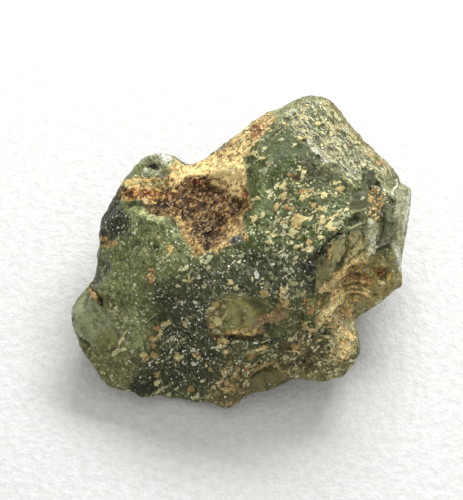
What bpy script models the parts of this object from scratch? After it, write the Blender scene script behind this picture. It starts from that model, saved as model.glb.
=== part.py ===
"""A rough piece of moldavite: natural green glass, etched and pitted, lying on its flattest side.

The stone is one solid. It is carved in its own viewing frame, as seen from in front and above:
right, up and toward the viewer, in millimetres from the middle of the outline. The carving
starts from flat faces that meet in rounded edges, adds lobes, hollows, ledges and cracks at
named places, and ends with the outline, the even foot and the stone's place in the world.
"""

import math

import bmesh
import bpy
import numpy as np
from mathutils import Vector, noise

# Driving dimensions, in millimetres and degrees. The lists below are for a stone 32 mm long.
STONE_LENGTH = 32.0
SCALE = STONE_LENGTH / 32.0
LOOK_DOWN = 62.0
FOOT_DEPTH = 0.85
FACE_COUNT = 9400

MM = 0.001
NAME = "moldavite"
GLASS_GREEN = (0.115, 0.135, 0.062, 1.0)

# The outline, seen from the front and above, anticlockwise from the right: (right, up)
OUTLINE = [
    (15.2, 0.2), (15.5, 2.0), (15.9, 4.2), (16.1, 5.8), (15.8, 6.2), (14.9, 6.4), (14.8, 7.0),
    (14.2, 8.0), (13.0, 9.0), (12.0, 10.0), (10.6, 11.5), (9.7, 12.6), (9.0, 13.7), (8.0, 14.5),
    (6.6, 14.8), (5.5, 14.6), (4.4, 14.1), (3.2, 13.3), (2.4, 13.2), (1.3, 12.6), (0.2, 11.5),
    (-1.6, 10.2), (-2.7, 9.4), (-3.6, 8.7), (-4.9, 8.2), (-5.4, 8.5), (-6.1, 8.7), (-6.5, 9.2),
    (-7.6, 9.3), (-9.0, 8.9), (-10.1, 8.0), (-11.1, 6.8), (-12.2, 5.1), (-13.1, 3.3),
    (-13.4, 2.0), (-13.3, 0.6), (-13.6, -0.1), (-13.5, -1.4), (-14.0, -2.7), (-14.4, -3.3),
    (-15.3, -4.1), (-15.9, -5.2), (-15.9, -6.9), (-15.5, -7.9), (-14.9, -9.2), (-14.1, -10.4),
    (-13.5, -11.4), (-12.8, -12.4), (-11.7, -13.1), (-10.5, -13.0), (-10.1, -13.3),
    (-9.2, -13.8), (-7.6, -13.6), (-5.8, -13.7), (-4.5, -14.1), (-3.2, -14.0), (-2.3, -14.5),
    (-1.4, -14.8), (-0.4, -14.4), (0.6, -13.4), (2.2, -13.1), (3.5, -12.5), (4.7, -11.9),
    (6.2, -12.0), (7.7, -12.2), (9.5, -11.6), (10.6, -10.5), (11.1, -9.2), (11.1, -8.0),
    (10.7, -6.9), (11.0, -6.2), (11.7, -5.7), (12.9, -4.9), (13.9, -4.0), (14.5, -3.4),
    (15.1, -3.4), (15.1, -2.7), (15.0, -1.4),
]

# The flat faces: the way the face looks, as right, up, toward the viewer, then its distance from the middle
FACES = [
    # front
    ((-0.10, -0.03, 1.00), 7.6),
    ((0.42, 0.42, 0.80), 11.4),
    ((-0.42, 0.72, 0.55), 9.6),
    ((-0.30, 0.22, 0.90), 7.4),
    ((-0.58, 0.02, 0.80), 9.2),
    ((-0.50, -0.42, 0.76), 9.6),
    ((-0.12, -0.64, 0.76), 7.4),
    ((0.22, -0.80, 0.56), 9.8),
    ((0.60, -0.42, 0.66), 9.8),
    ((0.86, 0.12, 0.48), 13.2),
    # rim
    ((0.99, 0.10, -0.10), 14.8),
    ((0.70, 0.71, 0.00), 15.4),
    ((0.15, 0.95, -0.28), 14.4),
    ((-0.52, 0.84, -0.10), 10.2),
    ((-0.84, 0.52, 0.00), 12.8),
    ((-0.98, 0.00, -0.18), 13.8),
    ((-0.84, -0.52, -0.10), 15.8),
    ((-0.10, -0.98, -0.12), 13.8),
    ((0.40, -0.90, -0.10), 13.0),
    # back
    ((0.02, -0.28, -0.88), 7.9),
    ((0.05, 0.47, -0.88), 8.4),
    ((0.55, -0.10, -0.83), 9.6),
    ((-0.60, 0.20, -0.77), 9.8),
    ((-0.35, -0.45, -0.82), 9.4),
    ((0.35, -0.62, -0.70), 9.6),
    ((0.45, 0.72, -0.52), 12.6),
    ((-0.35, 0.80, -0.50), 10.4),
]
EDGE_SHARPNESS = 26
TILT = 0.22

# Hollows, and with a negative depth lobes: right, up, reach, depth, stretch, turn of the long way, edge
HOLLOWS = {
    "clay hollow": (-3.3, 4.6, 4.0, 1.35, 1.10, 15, 3.0),
    "clay hollow foot": (-1.6, 2.2, 2.2, 0.60, 1.00, 0, 2.0),
    "clay hollow tail": (-8.6, 5.2, 1.8, 0.60, 1.90, 8, 2.0),
    "corner knob": (-8.2, 7.8, 2.4, -1.30, 1.20, 10, 2.0),
    "corner knob pit": (-8.3, 8.0, 0.8, 0.60, 1.00, 0, 2.0),
    "small knob": (-5.3, 8.3, 0.8, -0.50, 1.00, 0, 2.0),
    "left scoop": (-11.6, 3.4, 2.3, 0.70, 1.20, 60, 2.0),
    "left notch": (-13.2, 0.8, 1.0, 0.55, 1.00, 0, 2.0),
    "crown flat": (5.0, 5.5, 3.6, 0.35, 1.20, 40, 3.0),
    "crown corner scoop": (11.1, 4.9, 1.6, 0.50, 1.30, 90, 2.4),
    "lip pocket": (10.3, 2.6, 0.8, 0.50, 1.30, 40, 2.0),
    "band trough": (14.0, 2.4, 1.1, 0.80, 2.30, 86, 2.4),
    "band crest": (13.0, 3.6, 0.9, -0.35, 2.60, 84, 2.0),
    "side hollow": (11.0, -3.0, 2.3, 0.80, 1.30, 28, 2.4),
    "side pit": (13.6, -2.2, 0.8, 0.50, 1.00, 0, 2.0),
    "side tongue": (8.9, -0.6, 1.3, 0.50, 1.60, 60, 2.4),
    "round lobe": (9.0, -8.9, 3.0, -2.30, 1.00, 0, 2.2),
    "round lobe pit": (7.7, -7.4, 0.7, 0.55, 1.00, 0, 2.0),
    "fold crest": (7.9, -5.4, 1.1, -0.70, 2.20, 62, 2.0),
    "green pocket": (0.0, -5.9, 2.1, 0.85, 1.35, 8, 2.6),
    "clay bar": (2.8, -6.2, 1.0, -0.50, 1.90, 20, 2.0),
    "clay post": (4.2, -4.4, 1.0, -0.50, 1.80, 78, 2.0),
    "pocket by the lobe": (5.2, -6.9, 1.4, 0.90, 1.30, 80, 2.4),
    "shade under the lobe": (4.3, -9.3, 1.7, 0.90, 1.40, 5, 2.0),
    "valley": (-4.9, -6.0, 3.8, 1.30, 1.40, 55, 2.2),
    "valley hole": (-7.0, -6.3, 0.8, 0.55, 1.20, 0, 2.0),
    "foot scoop": (-5.0, -11.6, 1.8, 0.70, 1.80, 8, 2.0),
    "foot corner scoop": (-9.2, -12.1, 1.3, 0.60, 1.00, 0, 2.0),
    "foot lobe right": (2.4, -11.7, 1.9, -0.80, 1.40, 24, 2.4),
    "foot lobe": (-1.2, -13.2, 1.8, -1.00, 1.00, 0, 2.0),
    "foot lobe left": (-8.2, -13.3, 1.4, -0.60, 1.30, 0, 2.0),
    "glassy lobe": (-12.6, -8.4, 3.4, -0.60, 1.40, -58, 2.0),
    "glassy scoop": (-10.6, -5.6, 3.0, 0.45, 1.50, -60, 2.0),
}

# Grooves: the line as (right, up) places, then half the width and the depth
CRACKS = {
    "lobe crack": ([(-14.4, -3.2), (-13.7, -4.1), (-12.9, -5.2)], 0.45, 0.85),
    "pocket crack": ([(-2.2, -8.3), (-0.2, -7.9), (0.9, -7.8), (2.0, -7.5), (3.0, -6.4)], 0.40, 0.65),
    "tongue crack": ([(10.2, 0.9), (9.8, -0.4), (8.4, -1.9)], 0.35, 0.45),
    "trough edge": ([(14.9, 6.2), (14.5, 4.4), (14.7, 2.0), (14.5, -0.6)], 0.35, 0.60),
    "band crack": ([(12.4, 7.0), (12.5, 4.0), (12.4, 1.4), (11.8, -0.4)], 0.40, 0.60),
    "foot crack": ([(0.6, -11.6), (2.4, -10.7), (3.2, -10.5), (3.8, -11.4)], 0.35, 0.40),
}

# Steps: the line with its raised side on the left, the rise and its reach, the drop on the other side
# and its reach
LEDGES = {
    "clay hollow wall": (
        [(1.8, 10.6), (0.4, 8.5), (0.8, 6.4), (0.8, 4.2), (-0.1, 2.4), (-1.6, 1.0)],
        0.50, 2.6, 0.30, 1.6,
    ),
    "crown edge": (
        [
            (5.9, -4.6), (7.2, -3.6), (7.5, -2.1), (7.1, -0.6), (8.0, 0.6), (9.2, 1.1),
            (10.6, 1.6), (12.0, 2.6), (12.1, 4.2), (12.0, 6.2),
        ],
        0.70, 2.4, 0.50, 1.2,
    ),
    "fold": ([(7.4, -4.6), (8.0, -3.2), (8.8, -2.2), (10.5, -1.0), (12.6, -0.5)], 0.55, 1.0, 0.40, 1.6),
    "foot ledge": (
        [
            (-9.3, -12.0), (-7.9, -11.2), (-7.0, -10.2), (-4.4, -8.6), (-1.9, -9.2),
            (0.2, -9.8), (2.0, -9.3), (4.0, -8.7),
        ],
        0.50, 2.0, 0.70, 1.8,
    ),
    "lobe edge": ([(-15.2, -7.6), (-14.2, -9.2), (-13.6, -10.6), (-12.2, -12.0)], 0.25, 1.5, 0.20, 1.0),
}

# Natural unevenness: size, height, seed
RIPPLES = [(5.5, 0.55, 3.1), (2.6, 0.34, 7.7), (1.3, 0.20, 12.9)]

# Etched cups of the hidden sides: how many, the smallest and largest reach, the depth as a share of it
CUPS = 46
CUP_REACH = (1.3, 3.4)
CUP_DEPTH = 0.30
CUP_DEPTH_VARIES = (0.7, 1.1)
CUP_SEED = 11

# The band that the cups lie in, as how far toward the viewer their sides look, and how far off the
# lowest point they stay, in reaches
CUPS_START = 0.25
CUPS_BAND = 1.2
CUP_TO_FOOT = 0.9

# How finely the rim is read when the stone is fitted to its outline, over how many steps it is averaged,
# and from where to where on the way to the rim the fitting sets in
RIM_STEPS = 720
RIM_AVERAGE = 9
RIM_BAND = (0.45, 0.98)

# What lies further back than this, in the viewing frame, isn't the front
BACK = -3.0

# The fineness of the carving and of the even mesh made from it
BALL_SUBDIVISIONS = 7
VOXEL = 0.22


def unit(vector):
    """The vector, or each row of an array of vectors, at length 1."""
    vector = np.asarray(vector, float)
    return vector / np.linalg.norm(vector, axis=-1, keepdims=True)


def fade(value, start, end):
    """0 before start, 1 after end, and smooth between them."""
    t = np.clip((value - start) / (end - start), 0.0, 1.0)
    return t * t * (3.0 - 2.0 * t)


def round_ball(subdivisions):
    """Points and triangles of an icosphere of radius 1."""
    ball = bmesh.new()
    bmesh.ops.create_icosphere(ball, subdivisions=subdivisions, radius=1.0)
    points = np.array([v.co for v in ball.verts], float)
    triangles = np.array([[v.index for v in f.verts] for f in ball.faces])
    ball.free()
    return points, triangles


def faceted_body(directions):
    """The ball's points moved onto the flat faces, whose edges come out rounded."""
    total = np.zeros(len(directions))
    for looks, distance in FACES:
        along = np.maximum(directions @ unit(looks), 0.0)
        total += (along / distance) ** EDGE_SHARPNESS
    return directions * (total ** (-1.0 / EDGE_SHARPNESS))[:, None]


class Carving:
    """The stone while it is carved: its points in the viewing frame, and what reads or moves them."""

    def __init__(self, points, triangles):
        self.points = points
        self.triangles = triangles
        self.measure()

    def measure(self):
        """The outward normals of the points."""
        a, b, c = (self.points[self.triangles[:, k]] for k in range(3))
        face_normals = np.cross(b - a, c - a)
        normals = np.zeros_like(self.points)
        for k in range(3):
            np.add.at(normals, self.triangles[:, k], face_normals)
        self.normals = unit(normals)

    def spot(self, right, up):
        """The point of the front that shows at (right, up)."""
        across = np.hypot(self.points[:, 0] - right, self.points[:, 1] - up)
        across[self.points[:, 2] < BACK] = np.inf
        near = np.argsort(across)[:12]
        return self.points[near[np.argmax(self.points[near, 2])]]

    def looks(self, middle, reach):
        """The way that the surface around a spot looks."""
        far = np.linalg.norm(self.points - middle, axis=1)
        return unit(self.normals[far < reach].sum(axis=0))

    def press(self, right, up, reach, depth, stretch=1.0, turn=0.0, edge=2.0):
        """A hollow, or with a negative depth a lobe, of one reach round a spot of the front. stretch makes
        it longer along turn, in degrees from the right, and a larger edge gives it a steeper rim."""
        middle = self.spot(right, up)
        way = self.looks(middle, max(reach * 0.6, 0.8))
        offset = self.points - middle
        long_way = np.array([math.cos(math.radians(turn)), math.sin(math.radians(turn)), 0.0])
        long_way = unit(long_way - way * (long_way @ way))
        short_way = np.cross(way, long_way)
        far = np.sqrt(
            (offset @ long_way / stretch) ** 2 + (offset @ short_way) ** 2 + (offset @ way * 0.7) ** 2
        )
        strength = 1.0 - fade((far / reach) ** edge, 0.0, 1.0)
        facing = fade(self.normals @ way, -0.2, 0.3)
        self.points = self.points - (way * depth) * (strength * facing)[:, None]
        self.measure()

    def cup(self, middle, reach, depth):
        """A round cup with a crisp rim, as etching leaves it: part of a ball is taken away."""
        way = self.looks(middle, reach)
        radius = (reach**2 + depth**2) / (2.0 * depth)
        offset = self.points - (middle + way * (radius - depth))
        along = offset @ way
        beside = np.sum(offset**2, axis=1) - along**2
        bottom = -np.sqrt(np.maximum(radius**2 - beside, 0.0))
        inside = (beside < radius**2) & (along > bottom) & (along < 0.0) & (self.normals @ way > 0.0)
        self.points = self.points + way * np.where(inside, bottom - along, 0.0)[:, None]
        self.measure()

    def line_distance(self, line):
        """Each point's distance from a line of spots, its side of the line, as 1 on the left and -1 on
        the right, and its share of the way along it."""
        spots = [self.spot(right, up) for right, up in line]
        best = np.full(len(self.points), 1e9)
        sign = np.ones(len(self.points))
        share = np.zeros(len(self.points))
        lengths = [np.linalg.norm(b - a) for a, b in zip(spots, spots[1:])]
        done = 0.0
        for a, b, length in zip(spots, spots[1:], lengths):
            along = np.clip((self.points - a) @ (b - a) / length**2, 0.0, 1.0)
            offset = self.points - (a + along[:, None] * (b - a))
            far = np.linalg.norm(offset, axis=1)
            closer = far < best
            best = np.where(closer, far, best)
            cross = (b - a)[0] * offset[:, 1] - (b - a)[1] * offset[:, 0]
            sign = np.where(closer, np.sign(cross), sign)
            share = np.where(closer, (done + along * length) / sum(lengths), share)
            done += length
        return best, sign, share

    def crack(self, line, width, depth):
        """A groove along a line of spots, deepest in its middle and running out at both ends."""
        far, _, share = self.line_distance(line)
        ends = fade(share, 0.0, 0.15) * (1.0 - fade(share, 0.85, 1.0))
        strength = np.exp(-((far / width) ** 2)) * ends
        self.points = self.points - self.normals * (depth * strength)[:, None]
        self.measure()

    def ledge(self, line, rise, rise_reach, drop, drop_reach):
        """A step along a line of spots: the surface is raised on the line's left and lowered on its
        right, and both run out over their reach."""
        far, side, share = self.line_distance(line)
        ends = fade(share, 0.0, 0.2) * (1.0 - fade(share, 0.8, 1.0))
        raised = fade(far * side, -0.25, 0.35) * np.exp(-((far / rise_reach) ** 2))
        lowered = fade(-far * side, -0.25, 0.35) * np.exp(-((far / drop_reach) ** 2))
        self.points = self.points + self.normals * ((rise * raised - drop * lowered) * ends)[:, None]
        self.measure()

    def ripple(self, size, height, seed):
        """Natural unevenness of one size."""
        shift = Vector((seed, seed * 0.7, -seed))
        values = [noise.noise(Vector(p) / size + shift) for p in self.points]
        self.points = self.points + self.normals * (height * np.array(values))[:, None]
        self.measure()

    def fit_outline(self):
        """Moves the rim sideways onto the outline, and the rest by less and less toward the middle."""
        angle = np.arctan2(self.points[:, 1], self.points[:, 0])
        across = np.hypot(self.points[:, 0], self.points[:, 1])
        place = (angle + math.pi) / (2 * math.pi) * RIM_STEPS
        widest = np.zeros(RIM_STEPS)
        np.maximum.at(widest, place.astype(int) % RIM_STEPS, across)
        around = np.arange(RIM_STEPS)
        widest = np.interp(around, around[widest > 0], widest[widest > 0], period=RIM_STEPS)
        average = np.hanning(RIM_AVERAGE) / np.hanning(RIM_AVERAGE).sum()
        ends = RIM_AVERAGE // 2
        widest = np.convolve(np.concatenate([widest[-ends:], widest, widest[:ends]]), average, "valid")
        now = np.interp(place, around + 0.5, widest, period=RIM_STEPS)
        rim = np.array(OUTLINE)
        rim_angle = np.arctan2(rim[:, 1], rim[:, 0])
        rim_across = np.hypot(rim[:, 0], rim[:, 1])
        wanted = np.interp(angle, rim_angle, rim_across, period=2 * math.pi)
        near_rim = fade(across / now, *RIM_BAND)
        grow = 1.0 + (wanted / now - 1.0) * near_rim
        self.points[:, :2] *= grow[:, None]
        self.measure()


def etch_the_hidden_sides(stone):
    """Cups over the back and under the rim, spread evenly, varied by a fixed seed, with none on the foot."""
    vary = np.random.default_rng(CUP_SEED)
    down = -np.array([0.0, math.cos(math.radians(LOOK_DOWN)), math.sin(math.radians(LOOK_DOWN))])
    golden = math.pi * (3.0 - math.sqrt(5.0))
    for k in range(CUPS):
        height = CUPS_START - CUPS_BAND * (k + 0.5) / CUPS
        across = math.sqrt(1.0 - height**2)
        ray = np.array([across * math.cos(k * golden), across * math.sin(k * golden), height])
        middle = stone.points[np.argmax(unit(stone.points) @ ray)]
        reach = vary.uniform(*CUP_REACH)
        depth = CUP_DEPTH * reach * vary.uniform(*CUP_DEPTH_VARIES)
        lowest = np.max(stone.points @ down)
        if middle @ down < lowest - reach * CUP_TO_FOOT:
            stone.cup(middle, reach, depth)


def carve():
    """The whole stone, in the viewing frame."""
    directions, triangles = round_ball(BALL_SUBDIVISIONS)
    stone = Carving(faceted_body(directions), triangles)
    stone.points[:, 2] -= TILT * stone.points[:, 1]
    stone.measure()
    stone.ripple(*RIPPLES[0])
    for right, up, reach, depth, stretch, turn, edge in HOLLOWS.values():
        stone.press(right, up, reach, depth, stretch=stretch, turn=turn, edge=edge)
    etch_the_hidden_sides(stone)
    for line, rise, rise_reach, drop, drop_reach in LEDGES.values():
        stone.ledge(line, rise, rise_reach, drop, drop_reach)
    for line, width, depth in CRACKS.values():
        stone.crack(line, width, depth)
    for ripple in RIPPLES[1:]:
        stone.ripple(*ripple)
    stone.fit_outline()
    return stone


def into_the_world(points):
    """The viewing frame turned into the world: right is +X, and the viewer is in front and above."""
    down = math.radians(LOOK_DOWN)
    right = np.array([1.0, 0.0, 0.0])
    up = np.array([0.0, math.sin(down), math.cos(down)])
    toward = np.array([0.0, -math.cos(down), math.sin(down)])
    return points @ np.array([right, up, toward]) * SCALE * MM


def glass():
    material = bpy.data.materials.new("tektite_glass")
    material.use_nodes = True
    shader = material.node_tree.nodes["Principled BSDF"]
    shader.inputs["Base Color"].default_value = GLASS_GREEN
    shader.inputs["Roughness"].default_value = 0.35
    shader.inputs["Metallic"].default_value = 0.0
    shader.inputs["IOR"].default_value = 1.5
    material.diffuse_color = GLASS_GREEN
    return material


def evaluated_mesh(obj):
    """The object's mesh with its modifiers."""
    bpy.context.view_layer.update()
    return bpy.data.meshes.new_from_object(obj.evaluated_get(bpy.context.evaluated_depsgraph_get()))


def even_mesh(points, triangles):
    """One closed mesh of even faces, then thinned where the stone is flattest."""
    mesh = bpy.data.meshes.new("carved")
    mesh.from_pydata(points.tolist(), [], triangles.tolist())
    carved = bpy.data.objects.new("carved", mesh)
    bpy.context.scene.collection.objects.link(carved)
    even = carved.modifiers.new("even faces", "REMESH")
    even.mode = "VOXEL"
    even.voxel_size = VOXEL * SCALE * MM
    fine_faces = len(evaluated_mesh(carved).polygons)
    thin = carved.modifiers.new("fewer faces", "DECIMATE")
    thin.ratio = FACE_COUNT / (2 * fine_faces)
    mesh = evaluated_mesh(carved)
    bpy.data.objects.remove(carved)
    return mesh


def loose_pieces(stone):
    """The mesh's points, grouped by what hangs together."""
    left = set(stone.verts)
    pieces = []
    while left:
        piece = set()
        reached = {left.pop()}
        while reached:
            piece |= reached
            reached = {e.other_vert(v) for v in reached for e in v.link_edges} - piece
        left -= piece
        pieces.append(piece)
    return pieces


def drop_crumbs(stone):
    """Only the stone stays, without closed crumbs from folds in the carving or from dents in the foot."""
    pieces = sorted(loose_pieces(stone), key=len)
    for crumb in pieces[:-1]:
        bmesh.ops.delete(stone, geom=list(crumb), context="VERTS")


def stand_on_foot(mesh):
    """Cuts the lowest bit off flat, and puts the middle of the box's bottom at the origin."""
    stone = bmesh.new()
    stone.from_mesh(mesh)
    floor = min(v.co.z for v in stone.verts) + FOOT_DEPTH * SCALE * MM
    cut = bmesh.ops.bisect_plane(
        stone,
        geom=stone.verts[:] + stone.edges[:] + stone.faces[:],
        plane_co=(0.0, 0.0, floor),
        plane_no=(0.0, 0.0, -1.0),
        clear_outer=True,
    )
    foot_rim = [part for part in cut["geom_cut"] if isinstance(part, bmesh.types.BMEdge)]
    bmesh.ops.edgenet_fill(stone, edges=foot_rim)
    drop_crumbs(stone)
    low = [min(v.co[k] for v in stone.verts) for k in range(3)]
    high = [max(v.co[k] for v in stone.verts) for k in range(3)]
    middle = Vector(((low[0] + high[0]) / 2, (low[1] + high[1]) / 2, low[2]))
    bmesh.ops.translate(stone, vec=-middle, verts=stone.verts)
    bmesh.ops.recalc_face_normals(stone, faces=stone.faces)
    stone.to_mesh(mesh)
    stone.free()


def build():
    for obj in list(bpy.data.objects):
        bpy.data.objects.remove(obj)
    collection = bpy.data.collections.new(NAME)
    bpy.context.scene.collection.children.link(collection)
    carved = carve()
    mesh = even_mesh(into_the_world(carved.points), carved.triangles)
    stand_on_foot(mesh)
    mesh.name = NAME
    mesh.shade_smooth()
    mesh.materials.append(glass())
    stone = bpy.data.objects.new(NAME, mesh)
    collection.objects.link(stone)


build()
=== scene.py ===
"""The moldavite's looks: a rough piece of natural green glass, etched, pitted and caked with clay.

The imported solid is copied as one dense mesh. Its finer relief is carved into that mesh, and its paint,
clay, flecks, frost and clean glass are stored on the points. One material reads them.

Places on the side that the camera sees are pixels, (across, down), of the 463 x 500 photograph. Lengths
are in millimetres. The hidden sides follow the same rules, placed by noise and by their own hollows.
"""

import math

import bmesh
import bpy
import numpy as np
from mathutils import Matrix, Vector, noise


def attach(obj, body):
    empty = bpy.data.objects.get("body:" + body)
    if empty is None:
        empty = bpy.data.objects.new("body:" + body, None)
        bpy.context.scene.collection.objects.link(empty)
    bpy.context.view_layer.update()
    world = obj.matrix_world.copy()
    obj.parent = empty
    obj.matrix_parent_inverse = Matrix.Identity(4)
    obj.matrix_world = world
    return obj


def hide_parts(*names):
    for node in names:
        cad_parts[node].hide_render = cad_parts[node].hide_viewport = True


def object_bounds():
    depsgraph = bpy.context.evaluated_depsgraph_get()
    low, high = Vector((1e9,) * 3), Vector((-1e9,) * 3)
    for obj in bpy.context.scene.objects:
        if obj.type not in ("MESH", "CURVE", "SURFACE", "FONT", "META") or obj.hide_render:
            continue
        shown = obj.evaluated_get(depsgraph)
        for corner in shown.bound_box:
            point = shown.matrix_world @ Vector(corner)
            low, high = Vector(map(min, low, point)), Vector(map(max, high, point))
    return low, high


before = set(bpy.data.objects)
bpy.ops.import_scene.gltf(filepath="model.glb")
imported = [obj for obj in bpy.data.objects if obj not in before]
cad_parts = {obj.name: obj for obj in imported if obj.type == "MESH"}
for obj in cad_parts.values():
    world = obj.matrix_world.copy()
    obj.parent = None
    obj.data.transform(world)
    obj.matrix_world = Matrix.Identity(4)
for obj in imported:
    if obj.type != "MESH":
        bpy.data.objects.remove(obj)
cad_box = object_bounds()

MM = 0.001
FRAME_WIDTH = 463
FRAME_HEIGHT = 500

# The camera: how far it looks down in degrees, its distance and sensor, from how near it sees, in metres,
# and how often its aim is mended
LOOK_DOWN = 62.0
CAMERA_DISTANCE = 350.0
SENSOR = 36.0
CLIP_START = 0.01
AIM_ROUNDS = 8

# The stone's outline in the photograph: left, top, right, bottom
STONE_FRAME = (71.8, 95.3, 410.9, 408.7)

# The dense mesh: its cell, and how often it is smoothed to lose the solid's flat triangles. Its cells are
# halved in the fine area, and within a reach of each line and of each pit, dab or crumb up to a half size,
# in pixels. The fine area's border has a softness, and the halved cells are smoothed once more.
CELL = 0.24
SMOOTHINGS = 9
SMOOTH_FACTOR = 0.5
FINE_SMOOTHINGS = 2
FINE_REACH = 2.0
FINE_SIZE = 8.0
FINE_SOFTNESS = 4.0

# Between these heights the relief sets in, so that the foot stays flat
FOOT_BAND = (0.02, 0.5)

# How far a normal leans toward the camera where the places of the photograph set in
FRONT_BAND = (-0.05, 0.18)

# The share of their height that crumbs stand out, and how far the relief may pass the solid's box
CRUMB_RISE = 0.8
BOX_SPARE = 0.3

# How hard the borders of ovals are, up to 1: those of details, of pits, of dabs, and of crumbs in relief and
# in colour
DETAIL_EDGE, PIT_EDGE, DAB_EDGE = 0.9, 0.2, 0.6
CRUMB_EDGE, CRUMB_PAINT_EDGE = 0.4, 0.1

# A stroke thins to a share of its width over a stretch at each end. A ledge fades in over its ends, and
# turns from low to high within a band of pixels.
STROKE_TIP, STROKE_TAPER = 0.35, 0.25
LEDGE_TAPER = 0.12
LEDGE_BAND = (-1.0, 1.2)

# Hollows are read against an average over so many steps. The mark for them grows by a factor per millimetre.
# The material darkens the glass and clay in hollows by it, as painted shade.
HOLLOW_STEPS = 12
HOLLOW_GAIN = 8.0
WIDE_HOLLOW_STEPS = 60


def look(paint=None, **marks):
    """What a place changes: its paint, and any of the marks."""
    return {"paint": paint, **marks} if paint else marks


# Relief of the visible side. Creases: line, half width in pixels, depth
CREASES = {
    "under the pocket": ([(214, 335), (228, 337), (245, 338), (262, 337)], 2.0, 0.20),
    "second crease": ([(288, 336), (276, 339), (265, 343), (256, 346)], 2.2, 0.24),
    "lobe crack": ([(90, 286), (95, 292), (99, 299), (102, 306)], 1.8, 0.28),
    "under the crown lip": (
        [(322, 246), (332, 238), (342, 234), (352, 235), (362, 232), (368, 225)],
        2.8, 0.34,
    ),
    "left of the panel": ([(326, 246), (321, 254), (317, 264), (315, 278), (314, 290)], 3.0, 0.30),
    "dark mouth": ([(312, 262), (318, 256), (323, 250)], 3.6, 0.35),
    "panel edge": ([(349, 237), (349, 248), (345, 257), (339, 266)], 1.9, 0.26),
    "band edge": ([(366, 222), (366, 240), (366, 258)], 1.7, 0.22),
    "facet edge": ([(384, 206), (381, 222), (379, 236), (377, 246)], 2.2, 0.28),
    "flake edge": ([(396, 202), (395, 220), (392, 244)], 1.9, 0.32),
    "chip edge": ([(377, 182), (384, 190), (394, 202)], 2.0, 0.28),
    "under the facet": ([(379, 250), (386, 248), (392, 246)], 2.0, 0.28),
    "foot panel": ([(250, 378), (260, 371), (270, 367), (278, 368)], 1.8, 0.18),
    "foot line left": ([(165, 372), (180, 370), (196, 372)], 1.6, 0.12),
    "flow under": ([(196, 334), (184, 345), (173, 356), (163, 372)], 2.4, 0.20),
    "side of the knob": ([(312, 338), (310, 350), (304, 362)], 3.0, 0.22),
    "slope edge": ([(250, 154), (262, 143), (276, 130)], 2.4, 0.16),
    "lobe fold": ([(80, 338), (88, 345), (91, 358)], 1.8, 0.16),
    "lobe line": ([(110, 325), (117, 331), (120, 341)], 1.6, 0.14),
    "left fold": ([(119, 206), (127, 213), (133, 226)], 2.0, 0.04),
    "fan groove 1": ([(349, 262), (358, 255), (366, 249)], 1.5, 0.20),
    "fan groove 2": ([(345, 270), (356, 264), (368, 261)], 1.5, 0.18),
    "hollow groove 1": ([(340, 279), (354, 274), (370, 277), (380, 284)], 1.5, 0.13),
    "hollow groove 2": ([(341, 288), (354, 284), (368, 288), (376, 296)], 1.5, 0.13),
    "hollow groove 3": ([(343, 297), (352, 300), (356, 309), (352, 318)], 1.5, 0.12),
}

# Ridges: line, half width in pixels, height
RIDGES = {
    "white crown ridge": ([(304, 138), (312, 146), (320, 154), (328, 162), (338, 166)], 3.4, 0.20),
    "upper ridge": ([(283, 120), (290, 113), (302, 107)], 3.2, 0.16),
    "slope ridge": ([(220, 155), (236, 154), (250, 151), (260, 152)], 2.6, 0.16),
    "crown lip": ([(336, 230), (346, 229), (354, 230), (362, 226), (367, 218)], 2.2, 0.24),
    "lip above the lens": ([(350, 210), (358, 211), (366, 210)], 1.6, 0.14),
    "crown corner line": ([(344, 178), (350, 183), (356, 190)], 2.0, 0.20),
    "fold": ([(366, 259), (354, 261), (346, 266), (336, 277), (324, 290)], 2.4, 0.30),
    "fan 1": ([(349, 258), (357, 251), (366, 244)], 1.5, 0.16),
    "tan fold": ([(336, 280), (340, 292), (339, 301), (330, 309), (321, 318), (315, 330)], 2.8, 0.36),
    "fibre 1": ([(341, 275), (354, 270), (368, 273)], 1.4, 0.15),
    "fibre 2": ([(341, 284), (355, 280), (370, 283)], 1.4, 0.15),
    "fibre 3": ([(344, 293), (356, 291), (370, 296)], 1.4, 0.15),
    "pocket foot": ([(262, 330), (252, 334), (240, 331), (228, 334)], 1.8, 0.22),
    "pocket bar": ([(256, 320), (266, 315), (278, 315), (288, 311)], 3.4, 0.14),
    "small ridge": ([(262, 342), (274, 338), (288, 335)], 1.8, 0.18),
    "flow ridge": ([(194, 331), (182, 342), (170, 354), (160, 368)], 1.6, 0.12),
    "foot panel rim": ([(246, 379), (256, 369), (266, 363), (275, 361), (281, 370), (291, 374)], 1.5, 0.18),
    "bottom rim": ([(150, 395), (158, 391), (168, 385)], 1.6, 0.16),
    "foot lobe rim": ([(200, 400), (210, 395), (218, 391)], 1.5, 0.14),
    "lobe line": ([(96, 308), (104, 320), (108, 326)], 1.6, 0.12),
    "lobe dash": ([(128, 338), (134, 333), (141, 328)], 1.6, 0.14),
    "flake left line": ([(396, 184), (397, 202), (396, 224), (393, 244)], 1.5, 0.20),
    "flake middle line": ([(403, 190), (402, 212), (400, 236)], 1.5, 0.16),
    "chip right line": ([(397, 178), (395, 188), (391, 194)], 1.4, 0.20),
    "chip lower line": ([(379, 181), (387, 190), (396, 200)], 1.4, 0.22),
    "corner rim": ([(133, 176), (138, 166), (148, 158), (162, 154)], 2.4, 0.12),
}

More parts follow.
